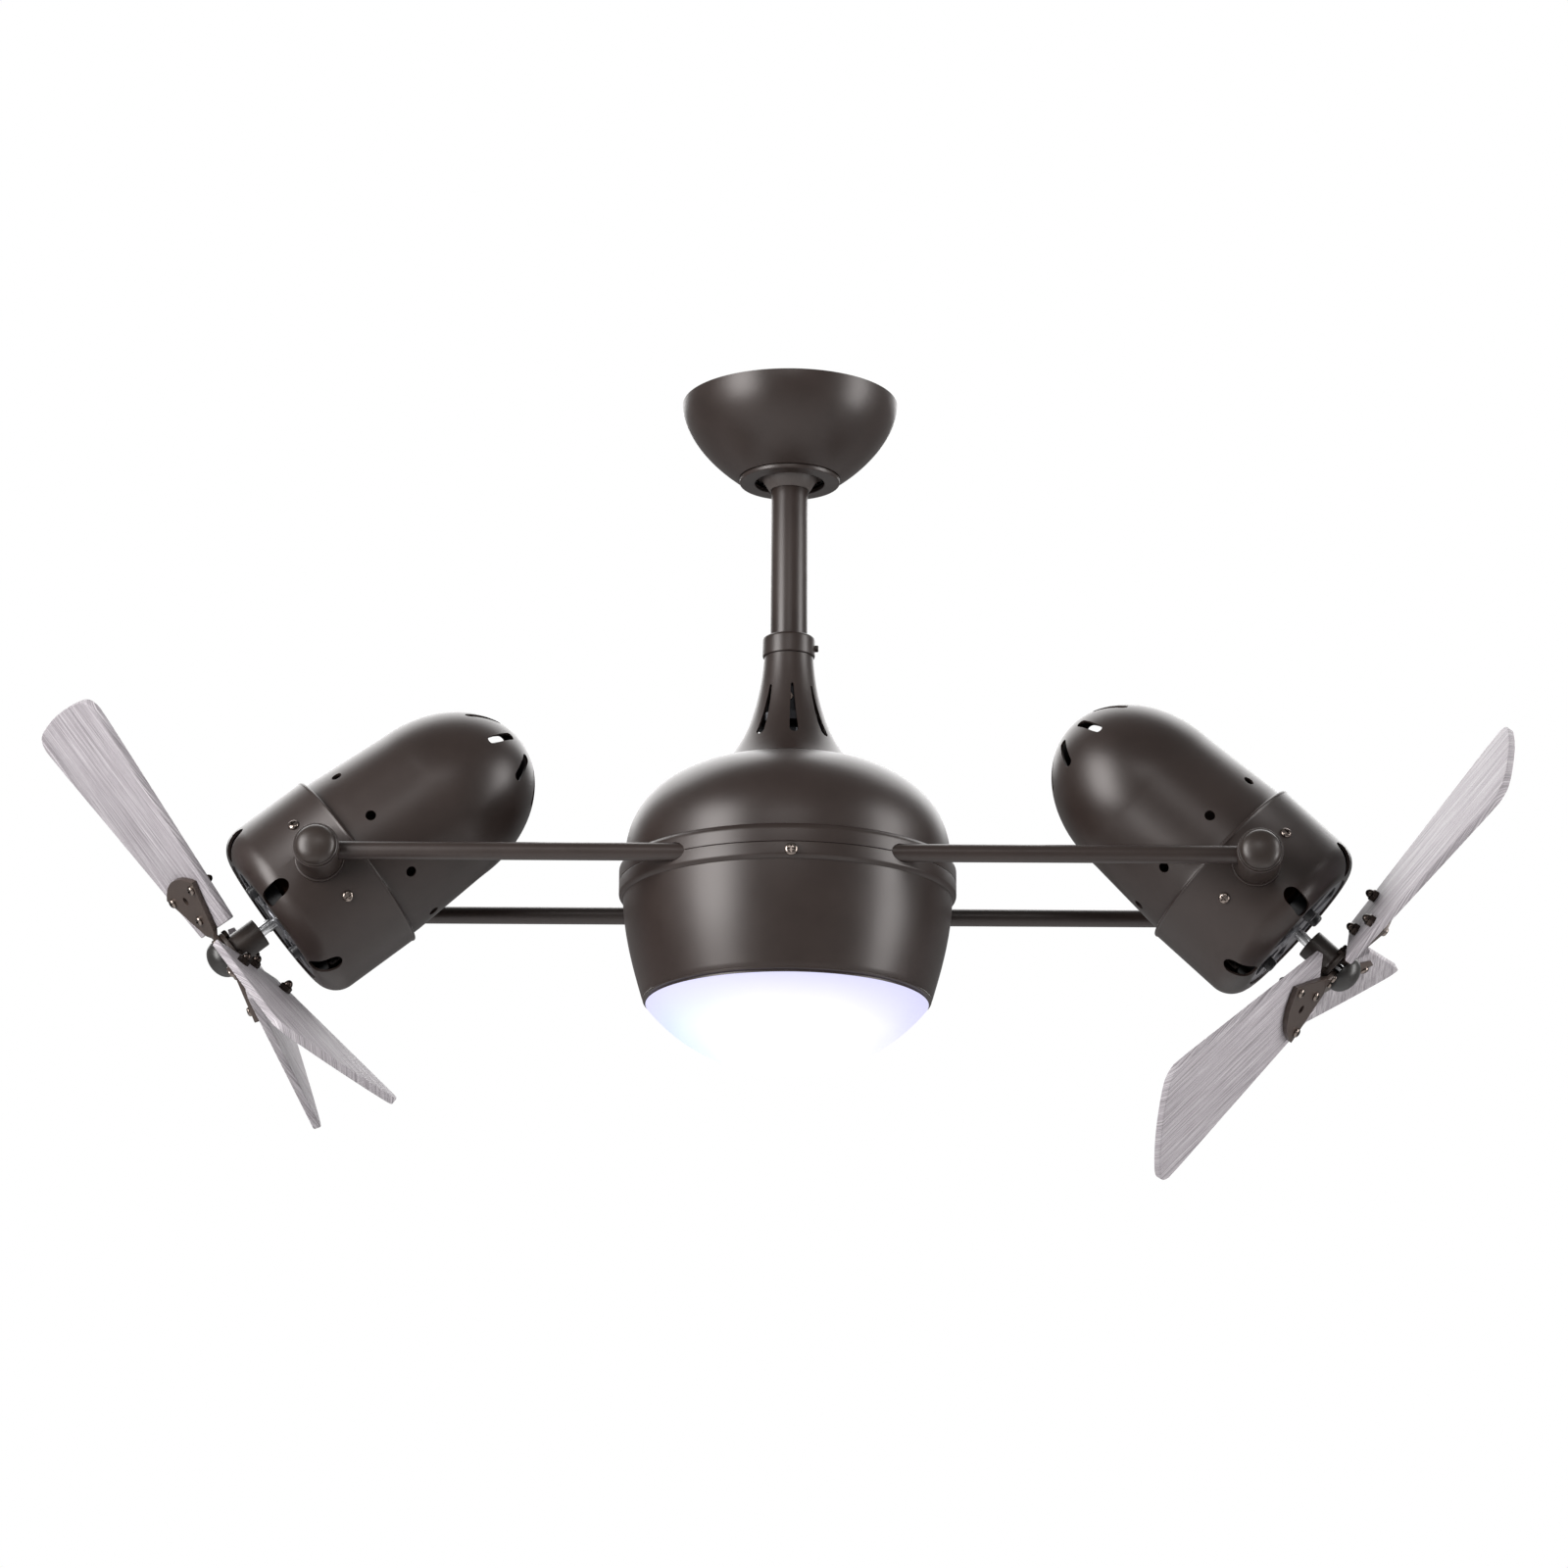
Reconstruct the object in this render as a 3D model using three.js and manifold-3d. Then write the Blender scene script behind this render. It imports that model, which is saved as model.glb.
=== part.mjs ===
// Twin head ceiling fan: a ball-hung downrod carries a turning light housing, whose two long
// arms hold two tilting motor heads with three wooden blades each.
// Millimetres, +Z up. The origin is the middle of the ceiling bracket's top face, and the
// fan is seen from the front along +Y, with the left head towards -X.
import * as THREE from 'three';
import { mergeVertices } from 'three/addons/utils/BufferGeometryUtils.js';
import Module from 'manifold-3d';

// ---- driving dimensions (mm and degrees) ----
const FIT = 0.3;
const CEILING_TO_ARMS = 366;

// downrod and hanger ball
const ROD_DIAMETER = 26.7;
const ROD_WALL = 2.4;
const ROD_BOTTOM = 118.3;
const BALL_DROP = 41;
const BALL_RADIUS = 30;
const BALL_TOP = 12;
const BALL_BOTTOM = 13;
const NOSE_LENGTH = 13;
const NOSE_TAPER = 6.5;
const NOSE_WALL = 0.9;
const HANGER_PIN_DIAMETER = 6;
const HANGER_PIN_LENGTH = 46;

// ceiling bracket
const BRACKET_LENGTH = 124;
const BRACKET_WIDTH = 40;
const BRACKET_SHEET = 2.5;
const BOX_SCREW_SPACING = 89;
const BOX_SLOT_LENGTH = 13;
const BOX_SLOT_WIDTH = 5;
const SEAT_WALL = 5;
const LEG_WIDTH = 24;
const ROD_ENTRY_CLEARANCE = 1;
const WIRE_HOLE_PLACE = 20;

// canopy and its ring
const CANOPY_DIAMETER = 158;
const CANOPY_DEPTH = 58;
const CANOPY_RIM = 38;
const CANOPY_SHEET = 1.5;
const CANOPY_TOP_GAP = 0.5;
const CANOPY_RING_DIAMETER = 73.6;
const CANOPY_RING_THICKNESS = 3.2;
const CANOPY_OPENING = 51;
const CANOPY_FLOOR_INSET = 3.5;
const CANOPY_TOP_DRAW = 1;
const CANOPY_TOP_PULL = 22;
const CANOPY_FOOT_DRAW = 21;
const CANOPY_FOOT_PULL = 14;

// collar, neck cover, yoke and spindle
const COLLAR_DIAMETER = 38;
const COLLAR_TOP = 186;
const NECK_TOP = 170.7;
const NECK_TOP_RADIUS = 17.8;
const NECK_GAP = 1;
const NECK_FOOT_RADIUS = 46;
const NECK_TOP_DRAW = 1.7;
const NECK_TOP_PULL = 24.7;
const NECK_FOOT_DRAW = 20.5;
const NECK_FOOT_PULL = 22.6;
const NECK_WALL = 2;
const NECK_SLOTS = 8;
const NECK_SLOT_TOP = 146;
const NECK_SLOT_BOTTOM = 105.5;
const NECK_SLOT_TOP_WIDTH = 2;
const NECK_SLOT_BOTTOM_WIDTH = 6.5;
const NECK_SLOT_PHASE = 7;
const YOKE_TOP = 150;
const YOKE_WALL = 3.4;
const YOKE_FLANGE_TOP = 124;
const YOKE_FLANGE_THICKNESS = 6;
const YOKE_BOTTOM = 98;
const YOKE_PIN_HEIGHT = 137;
const YOKE_PIN_DIAMETER = 6;
const YOKE_PIN_LENGTH = 36;
const SPINDLE_DIAMETER = 20;
const SPINDLE_BORE = 10;
const SPINDLE_NUT_DIAMETER = 30;
const SPINDLE_NUT_THICKNESS = 4.3;
const SLIP_RING_DIAMETER = 26;
const SLIP_RING_LENGTH = 18;
const SLIP_RING_BANDS = 3;
const SLIP_RING_CORE = 16;

// carrier: bearings, hub and arms
const BEARING_DIAMETER = 38;
const BEARING_WIDTH = 10;
const UPPER_BEARING_BASE = 44;
const LOWER_BEARING_BASE = -24;
const HUB_DIAMETER = 48;
const HUB_BEAM_WIDTH = 36;
const HUB_BEAM_HEIGHT = 22;
const HUB_BEAM_END = 3;
const ARM_STANDOFF = 20.8;
const ARM_DIAMETER = 12.7;
const ARM_WALL = 1.6;
const PIVOT_DISTANCE = 330;
const BRUSH_WIDTH = 16;
const BRUSH_OUTER = 32;

// housing
const HOUSING_RADIUS = 121;
const DOME_STEP = 4;
const DOME_HEIGHT = 78;
const DOME_SQUARENESS = 2.4;
const DOME_BASE = 14;
const DOME_OPENING = 34;
const BEAD_ROUND = 3;
const HOUSING_WALL = 2.2;
const GROOVE_HEIGHT = -12;
const GROOVE_STEP = 2;
const SKIRT_STEP = 3;
const SKIRT_TAPER = 15.6;
const SKIRT_TOP_DRAW = 1.5;
const SKIRT_TOP_PULL = 28.5;
const SKIRT_FOOT_DRAW = 7;
const SKIRT_FOOT_PULL = 24;
const SKIRT_FOOT = -88.3;
const SKIRT_LIP = 8.2;
const SKIRT_LIP_WIDTH = 4.5;

// light
const PAN_SHEET = 1.7;
const PAN_DISH_DEPTH = 6;
const PAN_RIM_WIDTH = 14;
const PAN_SLOPE = 5;
const LED_BOARD_INSET = 10.9;
const LED_BOARD_SHEET = 1.6;
const LED_COUNT = 12;
const LED_SIZE = 5;
const LED_RING_INSET = 21;
const DRIVER_LENGTH = 70;
const DRIVER_WIDTH = 34;
const DRIVER_HEIGHT = 20;
const DRIVER_CORNER = 3;
const DRIVER_INSET = 27.9;
const GLASS_INSET = 1.4;
const GLASS_DEPTH = 48;
const GLASS_WALL = 3;

// tilt joints
const KNUCKLE_DIAMETER = 32.6;
const KNUCKLE_SHOULDER = 13;
const KNUCKLE_ROUND = 1.2;
const PAD_DIAMETER = 35;
const PAD_HEIGHT = 1.8;
const PIVOT_BOLT_DIAMETER = 8;
const PIVOT_BOLT_GAP = 8;
const PIVOT_NUT_DIAMETER = 15;
const PIVOT_NUT_THICKNESS = 3.5;
const CAP_DIAMETER = 30.6;
const CAP_LIP = 1.8;
const CAP_HEIGHT = 8.7;

// motor heads
const LEFT_TILT = 37.8;
const RIGHT_TILT = 43.2;
const COVER_RADIUS = 69.2;
const COVER_FRONT = 48;
const COVER_REAR = -27;
const COVER_CORNER = 18;
const COVER_WALL = 2;
const COVER_SLOTS = 6;
const COVER_SLOT_WIDTH = 12.5;
const COVER_SLOT_LENGTH = 25;
const COVER_SLOT_REACH = 28;
const SHELL_STEP = 3.9;
const SHELL_LIP = 11;
const SHELL_SHOULDER = 95;
const SHELL_TAPER = 4;
const SHELL_DOME_LENGTH = 78;
const SHELL_WALL = 1.8;
const SHELL_VENTS = 8;
const SHELL_CLOCKING = 4;
const ROUND_VENT_DIAMETER = 7.6;
const ROUND_VENT_STATION = 47.5;
const LONG_VENT_WIDTH = 6.6;
const LONG_VENT_LENGTH = 28;
const LONG_VENT_ANGLE = 56;

// motor
const MOTOR_INSET = 1.2;
const END_PLATE_RECESS = 1.5;
const END_PLATE_DEPTH = 8.5;
const END_PLATE_RIM = 6;
const END_PLATE_SPOKES = 6;
const SPOKE_WIDTH = 7;
const BEARING_BOSS_DIAMETER = 30;
const STATOR_FRONT = 35;
const STATOR_LENGTH = 27;
const STATOR_BORE = 50;
const STATOR_SLOTS = 8;
const STATOR_SLOT_DEPTH = 9;
const STATOR_SLOT_WIDTH = 5;
const WINDING_HEIGHT = 3;
const WINDING_INNER_INSET = 8;
const WINDING_OUTER_INSET = 6;
const REAR_BELL_DEPTH = 26;
const REAR_BELL_SHEET = 3.5;
const MOUNT_LUG_ANGLE = 28;
const MOUNT_LUG_WIDTH = 13;
const MOUNT_LUG_DEPTH = 12;

// rotor and blades
const SHAFT_DIAMETER = 8;
const SHAFT_REAR = -25;
const SHAFT_FRONT = 92.5;
const CORE_CLEARANCE = 0.6;
const BLADE_HUB_DIAMETER = 22;
const BLADE_HUB_REAR = 59.5;
const BLADE_HUB_FLANGE_DIAMETER = 32;
const BLADE_HUB_FLANGE_THICKNESS = 3.2;
const BLADE_PLANE = 82.5;
const BLADES = 3;
const BLADE_PITCH = 19;
const BLADE_ROOT = 20.5;
const BLADE_TIP = 210;
const BLADE_ROOT_CHORD = 60;
const BLADE_TIP_CHORD = 120;
const BLADE_TIP_BULGE = 6;
const BLADE_CORNER = 10;
const BLADE_THICKNESS = 5.5;
const BLADE_EDGE_ROUND = 1.2;
const LEFT_BLADE_PHASE = -16;
const RIGHT_BLADE_PHASE = 37.4;
const IRON_THICKNESS = 4;
const IRON_INNER = 7;
const IRON_NECK_WIDTH = 14;
const IRON_WIDTH = 57;
const IRON_SHOULDER = 57;
const IRON_BOW = 9;
const IRON_HOLE_DIAMETER = 6.5;
const IRON_HOLE_RADIUS = 49;
const SPINNER_DIAMETER = 28;
const SPINNER_TIP = 103;

// facets round a full turn
const LARGE_ROUND = 24;
const HEAD_ROUND = 20;
const NECK_ROUND = 16;
const MEDIUM_ROUND = 16;
const SMALL_ROUND = 10;
const TINY_ROUND = 8;
const VENT_ROUND = 6;

// how far a slot's cutter stands out on each side of the skin that it cuts
const CUTTER_REACH = 14;

// ---- derived sizes ----
const ROD_RADIUS = ROD_DIAMETER / 2;
const ROD_BORE_RADIUS = ROD_RADIUS + FIT;
const ARM_RADIUS = ARM_DIAMETER / 2;
const SHAFT_RADIUS = SHAFT_DIAMETER / 2;
const SPINDLE_RADIUS = SPINDLE_DIAMETER / 2;
const IRON_OFFSET = BLADE_THICKNESS / 2 + FIT + IRON_THICKNESS / 2;
const IRON_LEVEL = BLADE_PLANE + IRON_OFFSET / Math.cos((BLADE_PITCH * Math.PI) / 180);
const MOTOR_RADIUS = COVER_RADIUS - COVER_CORNER - MOTOR_INSET;
const SHELL_RADIUS = COVER_RADIUS - SHELL_STEP;
const SHELL_SHOULDER_RADIUS = SHELL_RADIUS - SHELL_TAPER;
const ARM_SPREAD = COVER_RADIUS + ARM_STANDOFF;
const KNUCKLE_END = ARM_SPREAD + KNUCKLE_SHOULDER;
const PIVOT_BOLT_END = MOTOR_RADIUS + PIVOT_BOLT_GAP;
const DOME_RADIUS = HOUSING_RADIUS - DOME_STEP;
const GROOVE_RADIUS = HOUSING_RADIUS - GROOVE_STEP;
const SKIRT_TOP_RADIUS = HOUSING_RADIUS - SKIRT_STEP;
const SKIRT_FOOT_RADIUS = SKIRT_TOP_RADIUS - SKIRT_TAPER;
const SKIRT_LEDGE = SKIRT_FOOT + SKIRT_LIP;
const GLASS_RIM_RADIUS = SKIRT_FOOT_RADIUS - GLASS_INSET;
const NECK_FOOT = domeHeight(NECK_FOOT_RADIUS) + NECK_GAP;
const LOWER_BEARING_SEAT = LOWER_BEARING_BASE - FIT;
const SPINDLE_NUT_BASE = LOWER_BEARING_SEAT - SPINDLE_NUT_THICKNESS;
const SLIP_RING_TOP = SPINDLE_NUT_BASE - FIT;
const SLIP_RING_BASE = SLIP_RING_TOP - SLIP_RING_LENGTH;
const HUB_TOP = UPPER_BEARING_BASE + BEARING_WIDTH + 2;
const HUB_BASE = LOWER_BEARING_BASE - 2;

// ---- solid tools ----
const wasm = await Module();
wasm.setup();

/** Merges a geometry's shared corners and reads it as a closed solid. */
function toSolid(geometry) {
  const bare = geometry.clone();
  bare.deleteAttribute('normal');
  bare.deleteAttribute('uv');
  const merged = mergeVertices(bare, 1e-4);
  const index = merged.index.array;
  const kept = [];
  for (let i = 0; i < index.length; i += 3) {
    const [a, b, c] = [index[i], index[i + 1], index[i + 2]];
    if (a !== b && b !== c && c !== a) kept.push(a, b, c);
  }
  return new wasm.Manifold(new wasm.Mesh({
    numProp: 3,
    vertProperties: Float32Array.from(merged.attributes.position.array),
    triVerts: Uint32Array.from(kept),
  }));
}

/** Turns a closed solid back into a geometry. */
function toGeometry(solid) {
  const mesh = solid.getMesh();
  const geometry = new THREE.BufferGeometry();
  geometry.setAttribute('position', new THREE.BufferAttribute(mesh.vertProperties, 3));
  geometry.setIndex(new THREE.BufferAttribute(mesh.triVerts, 1));
  geometry.computeVertexNormals();
  return geometry;
}

function join(body, ...others) {
  return toGeometry(others.reduce((solid, other) => solid.add(toSolid(other)), toSolid(body)));
}

function cut(body, ...tools) {
  return toGeometry(tools.reduce((solid, tool) => solid.subtract(toSolid(tool)), toSolid(body)));
}

// ---- shape tools ----
const radians = THREE.MathUtils.degToRad;

/** Turns a closed outline of [radius, height] corners once round the Z axis. */
function revolved(outline, facets) {
  const next = (i) => outline[(i + 1) % outline.length];
  const area = outline.reduce((sum, [r, z], i) => sum + r * next(i)[1] - next(i)[0] * z, 0);
  const ordered = area > 0 ? outline : [...outline].reverse();
  const points = ordered.map(([r, z]) => new THREE.Vector2(r, z));
  points.push(points[0].clone());
  return new THREE.LatheGeometry(points, facets).rotateX(Math.PI / 2);
}

/** A straight round tube or, with no bore, a rod along Z. */
function tube(radius, bore, from, to, facets) {
  return revolved([[bore, from], [radius, from], [radius, to], [bore, to]], facets);
}

function block(width, depth, height, x, y, z) {
  return new THREE.BoxGeometry(width, depth, height).translate(x, y, z);
}

/** Raises a flat shape in XY from one height to another. */
function raised(shape, from, to, curveSegments = 6) {
  const options = { depth: to - from, bevelEnabled: false, curveSegments };
  return new THREE.ExtrudeGeometry(shape, options).translate(0, 0, from);
}

/** A shape of half-round ends, long along X. */
function obround(length, width) {
  const radius = width / 2;
  const reach = length / 2 - radius;
  const shape = new THREE.Shape();
  shape.absarc(reach, 0, radius, -Math.PI / 2, Math.PI / 2, false);
  shape.absarc(-reach, 0, radius, Math.PI / 2, Math.PI * 1.5, false);
  return shape;
}

/** Points of a cubic curve through two ends, pulled towards two handles. */
function curve(start, handleA, handleB, end, steps) {
  const [a, b, c, d] = [start, handleA, handleB, end].map(([r, z]) => new THREE.Vector2(r, z));
  return new THREE.CubicBezierCurve(a, b, c, d).getPoints(steps).map(({ x, y }) => [x, y]);
}

/** Points of a quarter of an ellipse round a centre, from one angle to another. */
function arc([r, z], radiusR, radiusZ, fromDegrees, toDegrees, steps) {
  return Array.from({ length: steps + 1 }, (_, i) => {
    const angle = radians(fromDegrees + ((toDegrees - fromDegrees) * i) / steps);
    return [r + radiusR * Math.cos(angle), z + radiusZ * Math.sin(angle)];
  });
}

/** Gives an outer outline a wall: its inner side is the same line, moved by the wall's thickness. */
function walled(outer, wall) {
  const inner = outer.map((point, i) => {
    const before = outer[Math.max(i - 1, 0)];
    const after = outer[Math.min(i + 1, outer.length - 1)];
    const [dr, dz] = [after[0] - before[0], after[1] - before[1]];
    const length = Math.hypot(dr, dz);
    const radius = point[0] < 1e-6 ? 0 : point[0] - (dz / length) * wall;
    return [radius, point[1] + (dr / length) * wall];
  });
  return [...outer, ...inner.reverse()];
}

/** Calls a maker once for each of a ring's places, and turns what it makes to that place. */
function ring(count, phase, maker) {
  return Array.from({ length: count }, (_, i) => maker(i).rotateZ(radians(phase + (360 * i) / count)));
}

/** How much closer the flats of a faceted round are than its corners. */
const facetShrink = (facets) => Math.cos(Math.PI / facets);

const alongX = (geometry) => geometry.rotateY(Math.PI / 2);
const alongY = (geometry) => geometry.rotateX(-Math.PI / 2);

// ---- materials ----
const finish = (color, roughness, metalness) => (
  new THREE.MeshStandardMaterial({ color, roughness, metalness })
);
const bronze = finish(0x40342f, 0.42, 0.5);
const darkBronze = finish(0x2f2724, 0.5, 0.5);
const steel = finish(0x9c9c9e, 0.3, 1);
const castAluminium = finish(0xa9aaad, 0.45, 0.9);
const zinc = finish(0x8d8f92, 0.5, 0.8);
const spinnerGrey = finish(0x3b3e3b, 0.45, 0.3);
const washedWood = finish(0xb8aeb6, 0.7, 0);
const opalGlass = finish(0xf6f5fb, 0.25, 0);
const whitePaint = finish(0xe9e9e9, 0.5, 0.1);
const moulding = finish(0x24262b, 0.6, 0);
const copper = finish(0x9a5a35, 0.4, 0.6);

function piece(name, geometry, material) {
  const mesh = new THREE.Mesh(toGeometry(toSolid(geometry)), material);
  mesh.name = name;
  return mesh;
}

// ---- ceiling mount ----
function hangerBracket() {
  const legX = BALL_RADIUS + SEAT_WALL - BRACKET_SHEET / 2;
  const seatTop = -BALL_DROP - BALL_BOTTOM / 2;
  const seatBase = -CANOPY_DEPTH + CANOPY_SHEET + FIT;
  const seatRadius = (BALL_RADIUS + FIT) / facetShrink(MEDIUM_ROUND);
  const seatAngle = (z) => THREE.MathUtils.radToDeg(Math.asin((z + BALL_DROP) / seatRadius));
  const bowl = arc([0, -BALL_DROP], seatRadius, seatRadius, seatAngle(seatBase), seatAngle(seatTop), 4);
  const seatOuter = BALL_RADIUS + SEAT_WALL;
  const seat = revolved([[seatOuter, seatTop], [seatOuter, seatBase], ...bowl], MEDIUM_ROUND);
  const entry = block(
    ROD_DIAMETER + ROD_ENTRY_CLEARANCE, seatOuter * 2, BALL_DROP, 0, seatOuter, seatBase + BALL_DROP / 2 - 1,
  );
  const strap = raised(obround(BRACKET_LENGTH, BRACKET_WIDTH), -BRACKET_SHEET, 0, 4);
  const legHeight = -(seatTop + seatBase) / 2;
  const legs = [-1, 1].map((side) => (
    block(BRACKET_SHEET, LEG_WIDTH, legHeight, side * legX, 0, -legHeight / 2)
  ));
  const slots = [-1, 1].map((side) => (
    raised(obround(BOX_SLOT_LENGTH, BOX_SLOT_WIDTH), -BRACKET_SHEET * 2, BRACKET_SHEET, 4)
      .translate((side * BOX_SCREW_SPACING) / 2, 0, 0)
  ));
  const wireHoles = [-1, 1].map((side) => (
    tube(BOX_SLOT_WIDTH, 0, -BRACKET_SHEET * 2, BRACKET_SHEET, TINY_ROUND)
      .translate(side * WIRE_HOLE_PLACE, 0, 0)
  ));
  return cut(join(strap, cut(seat, entry), ...legs), ...slots, ...wireHoles);
}

function canopy() {
  const radius = CANOPY_DIAMETER / 2;
  const side = curve(
    [radius, -CANOPY_TOP_GAP],
    [radius - CANOPY_TOP_DRAW, -CANOPY_TOP_PULL],
    [radius - CANOPY_FOOT_DRAW, CANOPY_FOOT_PULL - CANOPY_DEPTH],
    [CANOPY_RIM, -CANOPY_DEPTH],
    4,
  );
  const opening = CANOPY_OPENING / 2 + CANOPY_FLOOR_INSET;
  const floor = -CANOPY_DEPTH;
  const inner = walled(side, -CANOPY_SHEET).slice(side.length, -1);
  const outline = [...side, [opening, floor], [opening, floor + CANOPY_SHEET]];
  return revolved([...outline, [CANOPY_RIM - 2, floor + CANOPY_SHEET], ...inner.slice(1),
    [radius - CANOPY_SHEET, -CANOPY_TOP_GAP]], LARGE_ROUND);
}

function canopyRing() {
  const radius = CANOPY_RING_DIAMETER / 2;
  const top = -CANOPY_DEPTH - FIT;
  const base = top - CANOPY_RING_THICKNESS;
  const round = CANOPY_RING_THICKNESS * 0.7;
  const edge = arc([radius - round, base + round], round, round, -90, 0, 3);
  const bore = CANOPY_OPENING / 2;
  return revolved([[bore, top], [bore, base], ...edge, [radius, top]], MEDIUM_ROUND);
}

// ---- hanger: ball, rod, neck cover and spindle ----
function hangerBall() {
  const angle = (height) => THREE.MathUtils.radToDeg(Math.asin(height / BALL_RADIUS));
  const side = arc([0, 0], BALL_RADIUS, BALL_RADIUS, angle(BALL_TOP), angle(-BALL_BOTTOM), 4);
  const noseEnd = ROD_BORE_RADIUS + NOSE_WALL;
  const outline = [
    [ROD_BORE_RADIUS, BALL_TOP], ...side,
    [noseEnd + NOSE_TAPER, -BALL_BOTTOM],
    [noseEnd + NOSE_TAPER, -BALL_BOTTOM - 3],
    [noseEnd, -BALL_BOTTOM - NOSE_LENGTH],
    [ROD_BORE_RADIUS, -BALL_BOTTOM - NOSE_LENGTH],
  ];
  const pinSlot = HANGER_PIN_DIAMETER + 2 * FIT;
  const slot = block(pinSlot, 2 * BALL_RADIUS, pinSlot, 0, 0, hangerPinHeight());
  return cut(revolved(outline, MEDIUM_ROUND), slot);
}

function hangerPinHeight() {
  return BALL_TOP - HANGER_PIN_DIAMETER / 2 - FIT;
}

function downrod() {
  const top = CEILING_TO_ARMS - BALL_DROP + BALL_TOP + 2;
  const hole = (z, diameter) => (
    alongY(tube(diameter / 2 + FIT, 0, -ROD_DIAMETER, ROD_DIAMETER, TINY_ROUND)).translate(0, 0, z)
  );
  return cut(
    tube(ROD_RADIUS, ROD_RADIUS - ROD_WALL, ROD_BOTTOM, top, MEDIUM_ROUND),
    hole(CEILING_TO_ARMS - BALL_DROP + hangerPinHeight(), HANGER_PIN_DIAMETER),
    hole(YOKE_PIN_HEIGHT, YOKE_PIN_DIAMETER),
  );
}

function crossPin(diameter, length, height) {
  return alongY(tube(diameter / 2, 0, -length / 2, length / 2, TINY_ROUND)).translate(0, 0, height);
}

function downrodCollar() {
  const radius = COLLAR_DIAMETER / 2;
  const base = NECK_TOP + FIT;
  const round = 3;
  const shoulder = arc([radius - round, COLLAR_TOP - round], round, round, 0, 90, 3);
  const outline = [[ROD_BORE_RADIUS, base], [radius - 0.6, base], [radius, base + 1], ...shoulder,
    [ROD_BORE_RADIUS, COLLAR_TOP]];
  return revolved(outline, MEDIUM_ROUND);
}

function neckOutline() {
  return curve(
    [NECK_TOP_RADIUS, NECK_TOP],
    [NECK_TOP_RADIUS + NECK_TOP_DRAW, NECK_TOP - NECK_TOP_PULL],
    [NECK_FOOT_RADIUS - NECK_FOOT_DRAW, NECK_FOOT + NECK_FOOT_PULL],
    [NECK_FOOT_RADIUS, NECK_FOOT],
    4,
  );
}

/** The neck cover's inner radius at a height, found along its outline. */
function neckBore(height) {
  const outline = neckOutline();
  const i = outline.findIndex(([, z]) => z <= height);
  const [[r0, z0], [r1, z1]] = [outline[i - 1], outline[i]];
  return r0 + ((height - z0) / (z1 - z0)) * (r1 - r0) - NECK_WALL;
}

function neckCover() {
  const outer = neckOutline();
  const inner = outer.map(([r, z]) => [r - NECK_WALL, z]).filter(([r]) => r > NECK_TOP_RADIUS);
  const shoulder = NECK_TOP - NECK_WALL;
  const outline = [...outer, ...inner.reverse(), [NECK_TOP_RADIUS - NECK_WALL + 0.2, shoulder],
    [ROD_BORE_RADIUS, shoulder], [ROD_BORE_RADIUS, NECK_TOP]];
  const slot = new THREE.Shape();
  const [wide, narrow] = [NECK_SLOT_BOTTOM_WIDTH / 2, NECK_SLOT_TOP_WIDTH / 2];
  slot.absarc(0, NECK_SLOT_BOTTOM + wide, wide, Math.PI, Math.PI * 2, false);
  slot.absarc(0, NECK_SLOT_TOP - narrow, narrow, 0, Math.PI, false);
  const cutters = ring(NECK_SLOTS, NECK_SLOT_PHASE, () => (
    raised(slot, ROD_RADIUS, NECK_FOOT_RADIUS, 2).rotateX(Math.PI / 2)
  ));
  return cut(revolved(outline, NECK_ROUND), ...cutters);
}

function yoke() {
  const outer = ROD_BORE_RADIUS + YOKE_WALL;
  const flange = neckBore(YOKE_FLANGE_TOP) - FIT;
  const flangeBase = YOKE_FLANGE_TOP - YOKE_FLANGE_THICKNESS;
  const socket = SPINDLE_RADIUS + FIT;
  const webBase = ROD_BOTTOM - FIT - 2;
  const outline = [
    [ROD_BORE_RADIUS, YOKE_TOP], [ROD_BORE_RADIUS, ROD_BOTTOM - FIT], [SPINDLE_BORE / 2, ROD_BOTTOM - FIT],
    [SPINDLE_BORE / 2, webBase], [socket, webBase], [socket, YOKE_BOTTOM],
    [socket + YOKE_WALL, YOKE_BOTTOM], [socket + YOKE_WALL, flangeBase - 3], [flange, flangeBase],
    [flange, YOKE_FLANGE_TOP], [outer, YOKE_FLANGE_TOP], [outer, YOKE_TOP],
  ];
  const pinHole = crossPin(YOKE_PIN_DIAMETER + 2 * FIT, 4 * outer, YOKE_PIN_HEIGHT);
  return cut(revolved(outline, MEDIUM_ROUND), pinHole);
}

function yokePin() {
  return crossPin(YOKE_PIN_DIAMETER, YOKE_PIN_LENGTH, YOKE_PIN_HEIGHT);
}

function spindle() {
  const bore = SPINDLE_BORE / 2;
  const top = ROD_BOTTOM - 2 * FIT - 2;
  const nut = SPINDLE_NUT_DIAMETER / 2;
  const tail = SLIP_RING_CORE / 2;
  return revolved([
    [bore, top], [SPINDLE_RADIUS, top], [SPINDLE_RADIUS, LOWER_BEARING_SEAT], [nut, LOWER_BEARING_SEAT],
    [nut, SPINDLE_NUT_BASE], [tail, SPINDLE_NUT_BASE], [tail, SLIP_RING_BASE - 2], [bore, SLIP_RING_BASE - 2],
  ], MEDIUM_ROUND);
}

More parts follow.
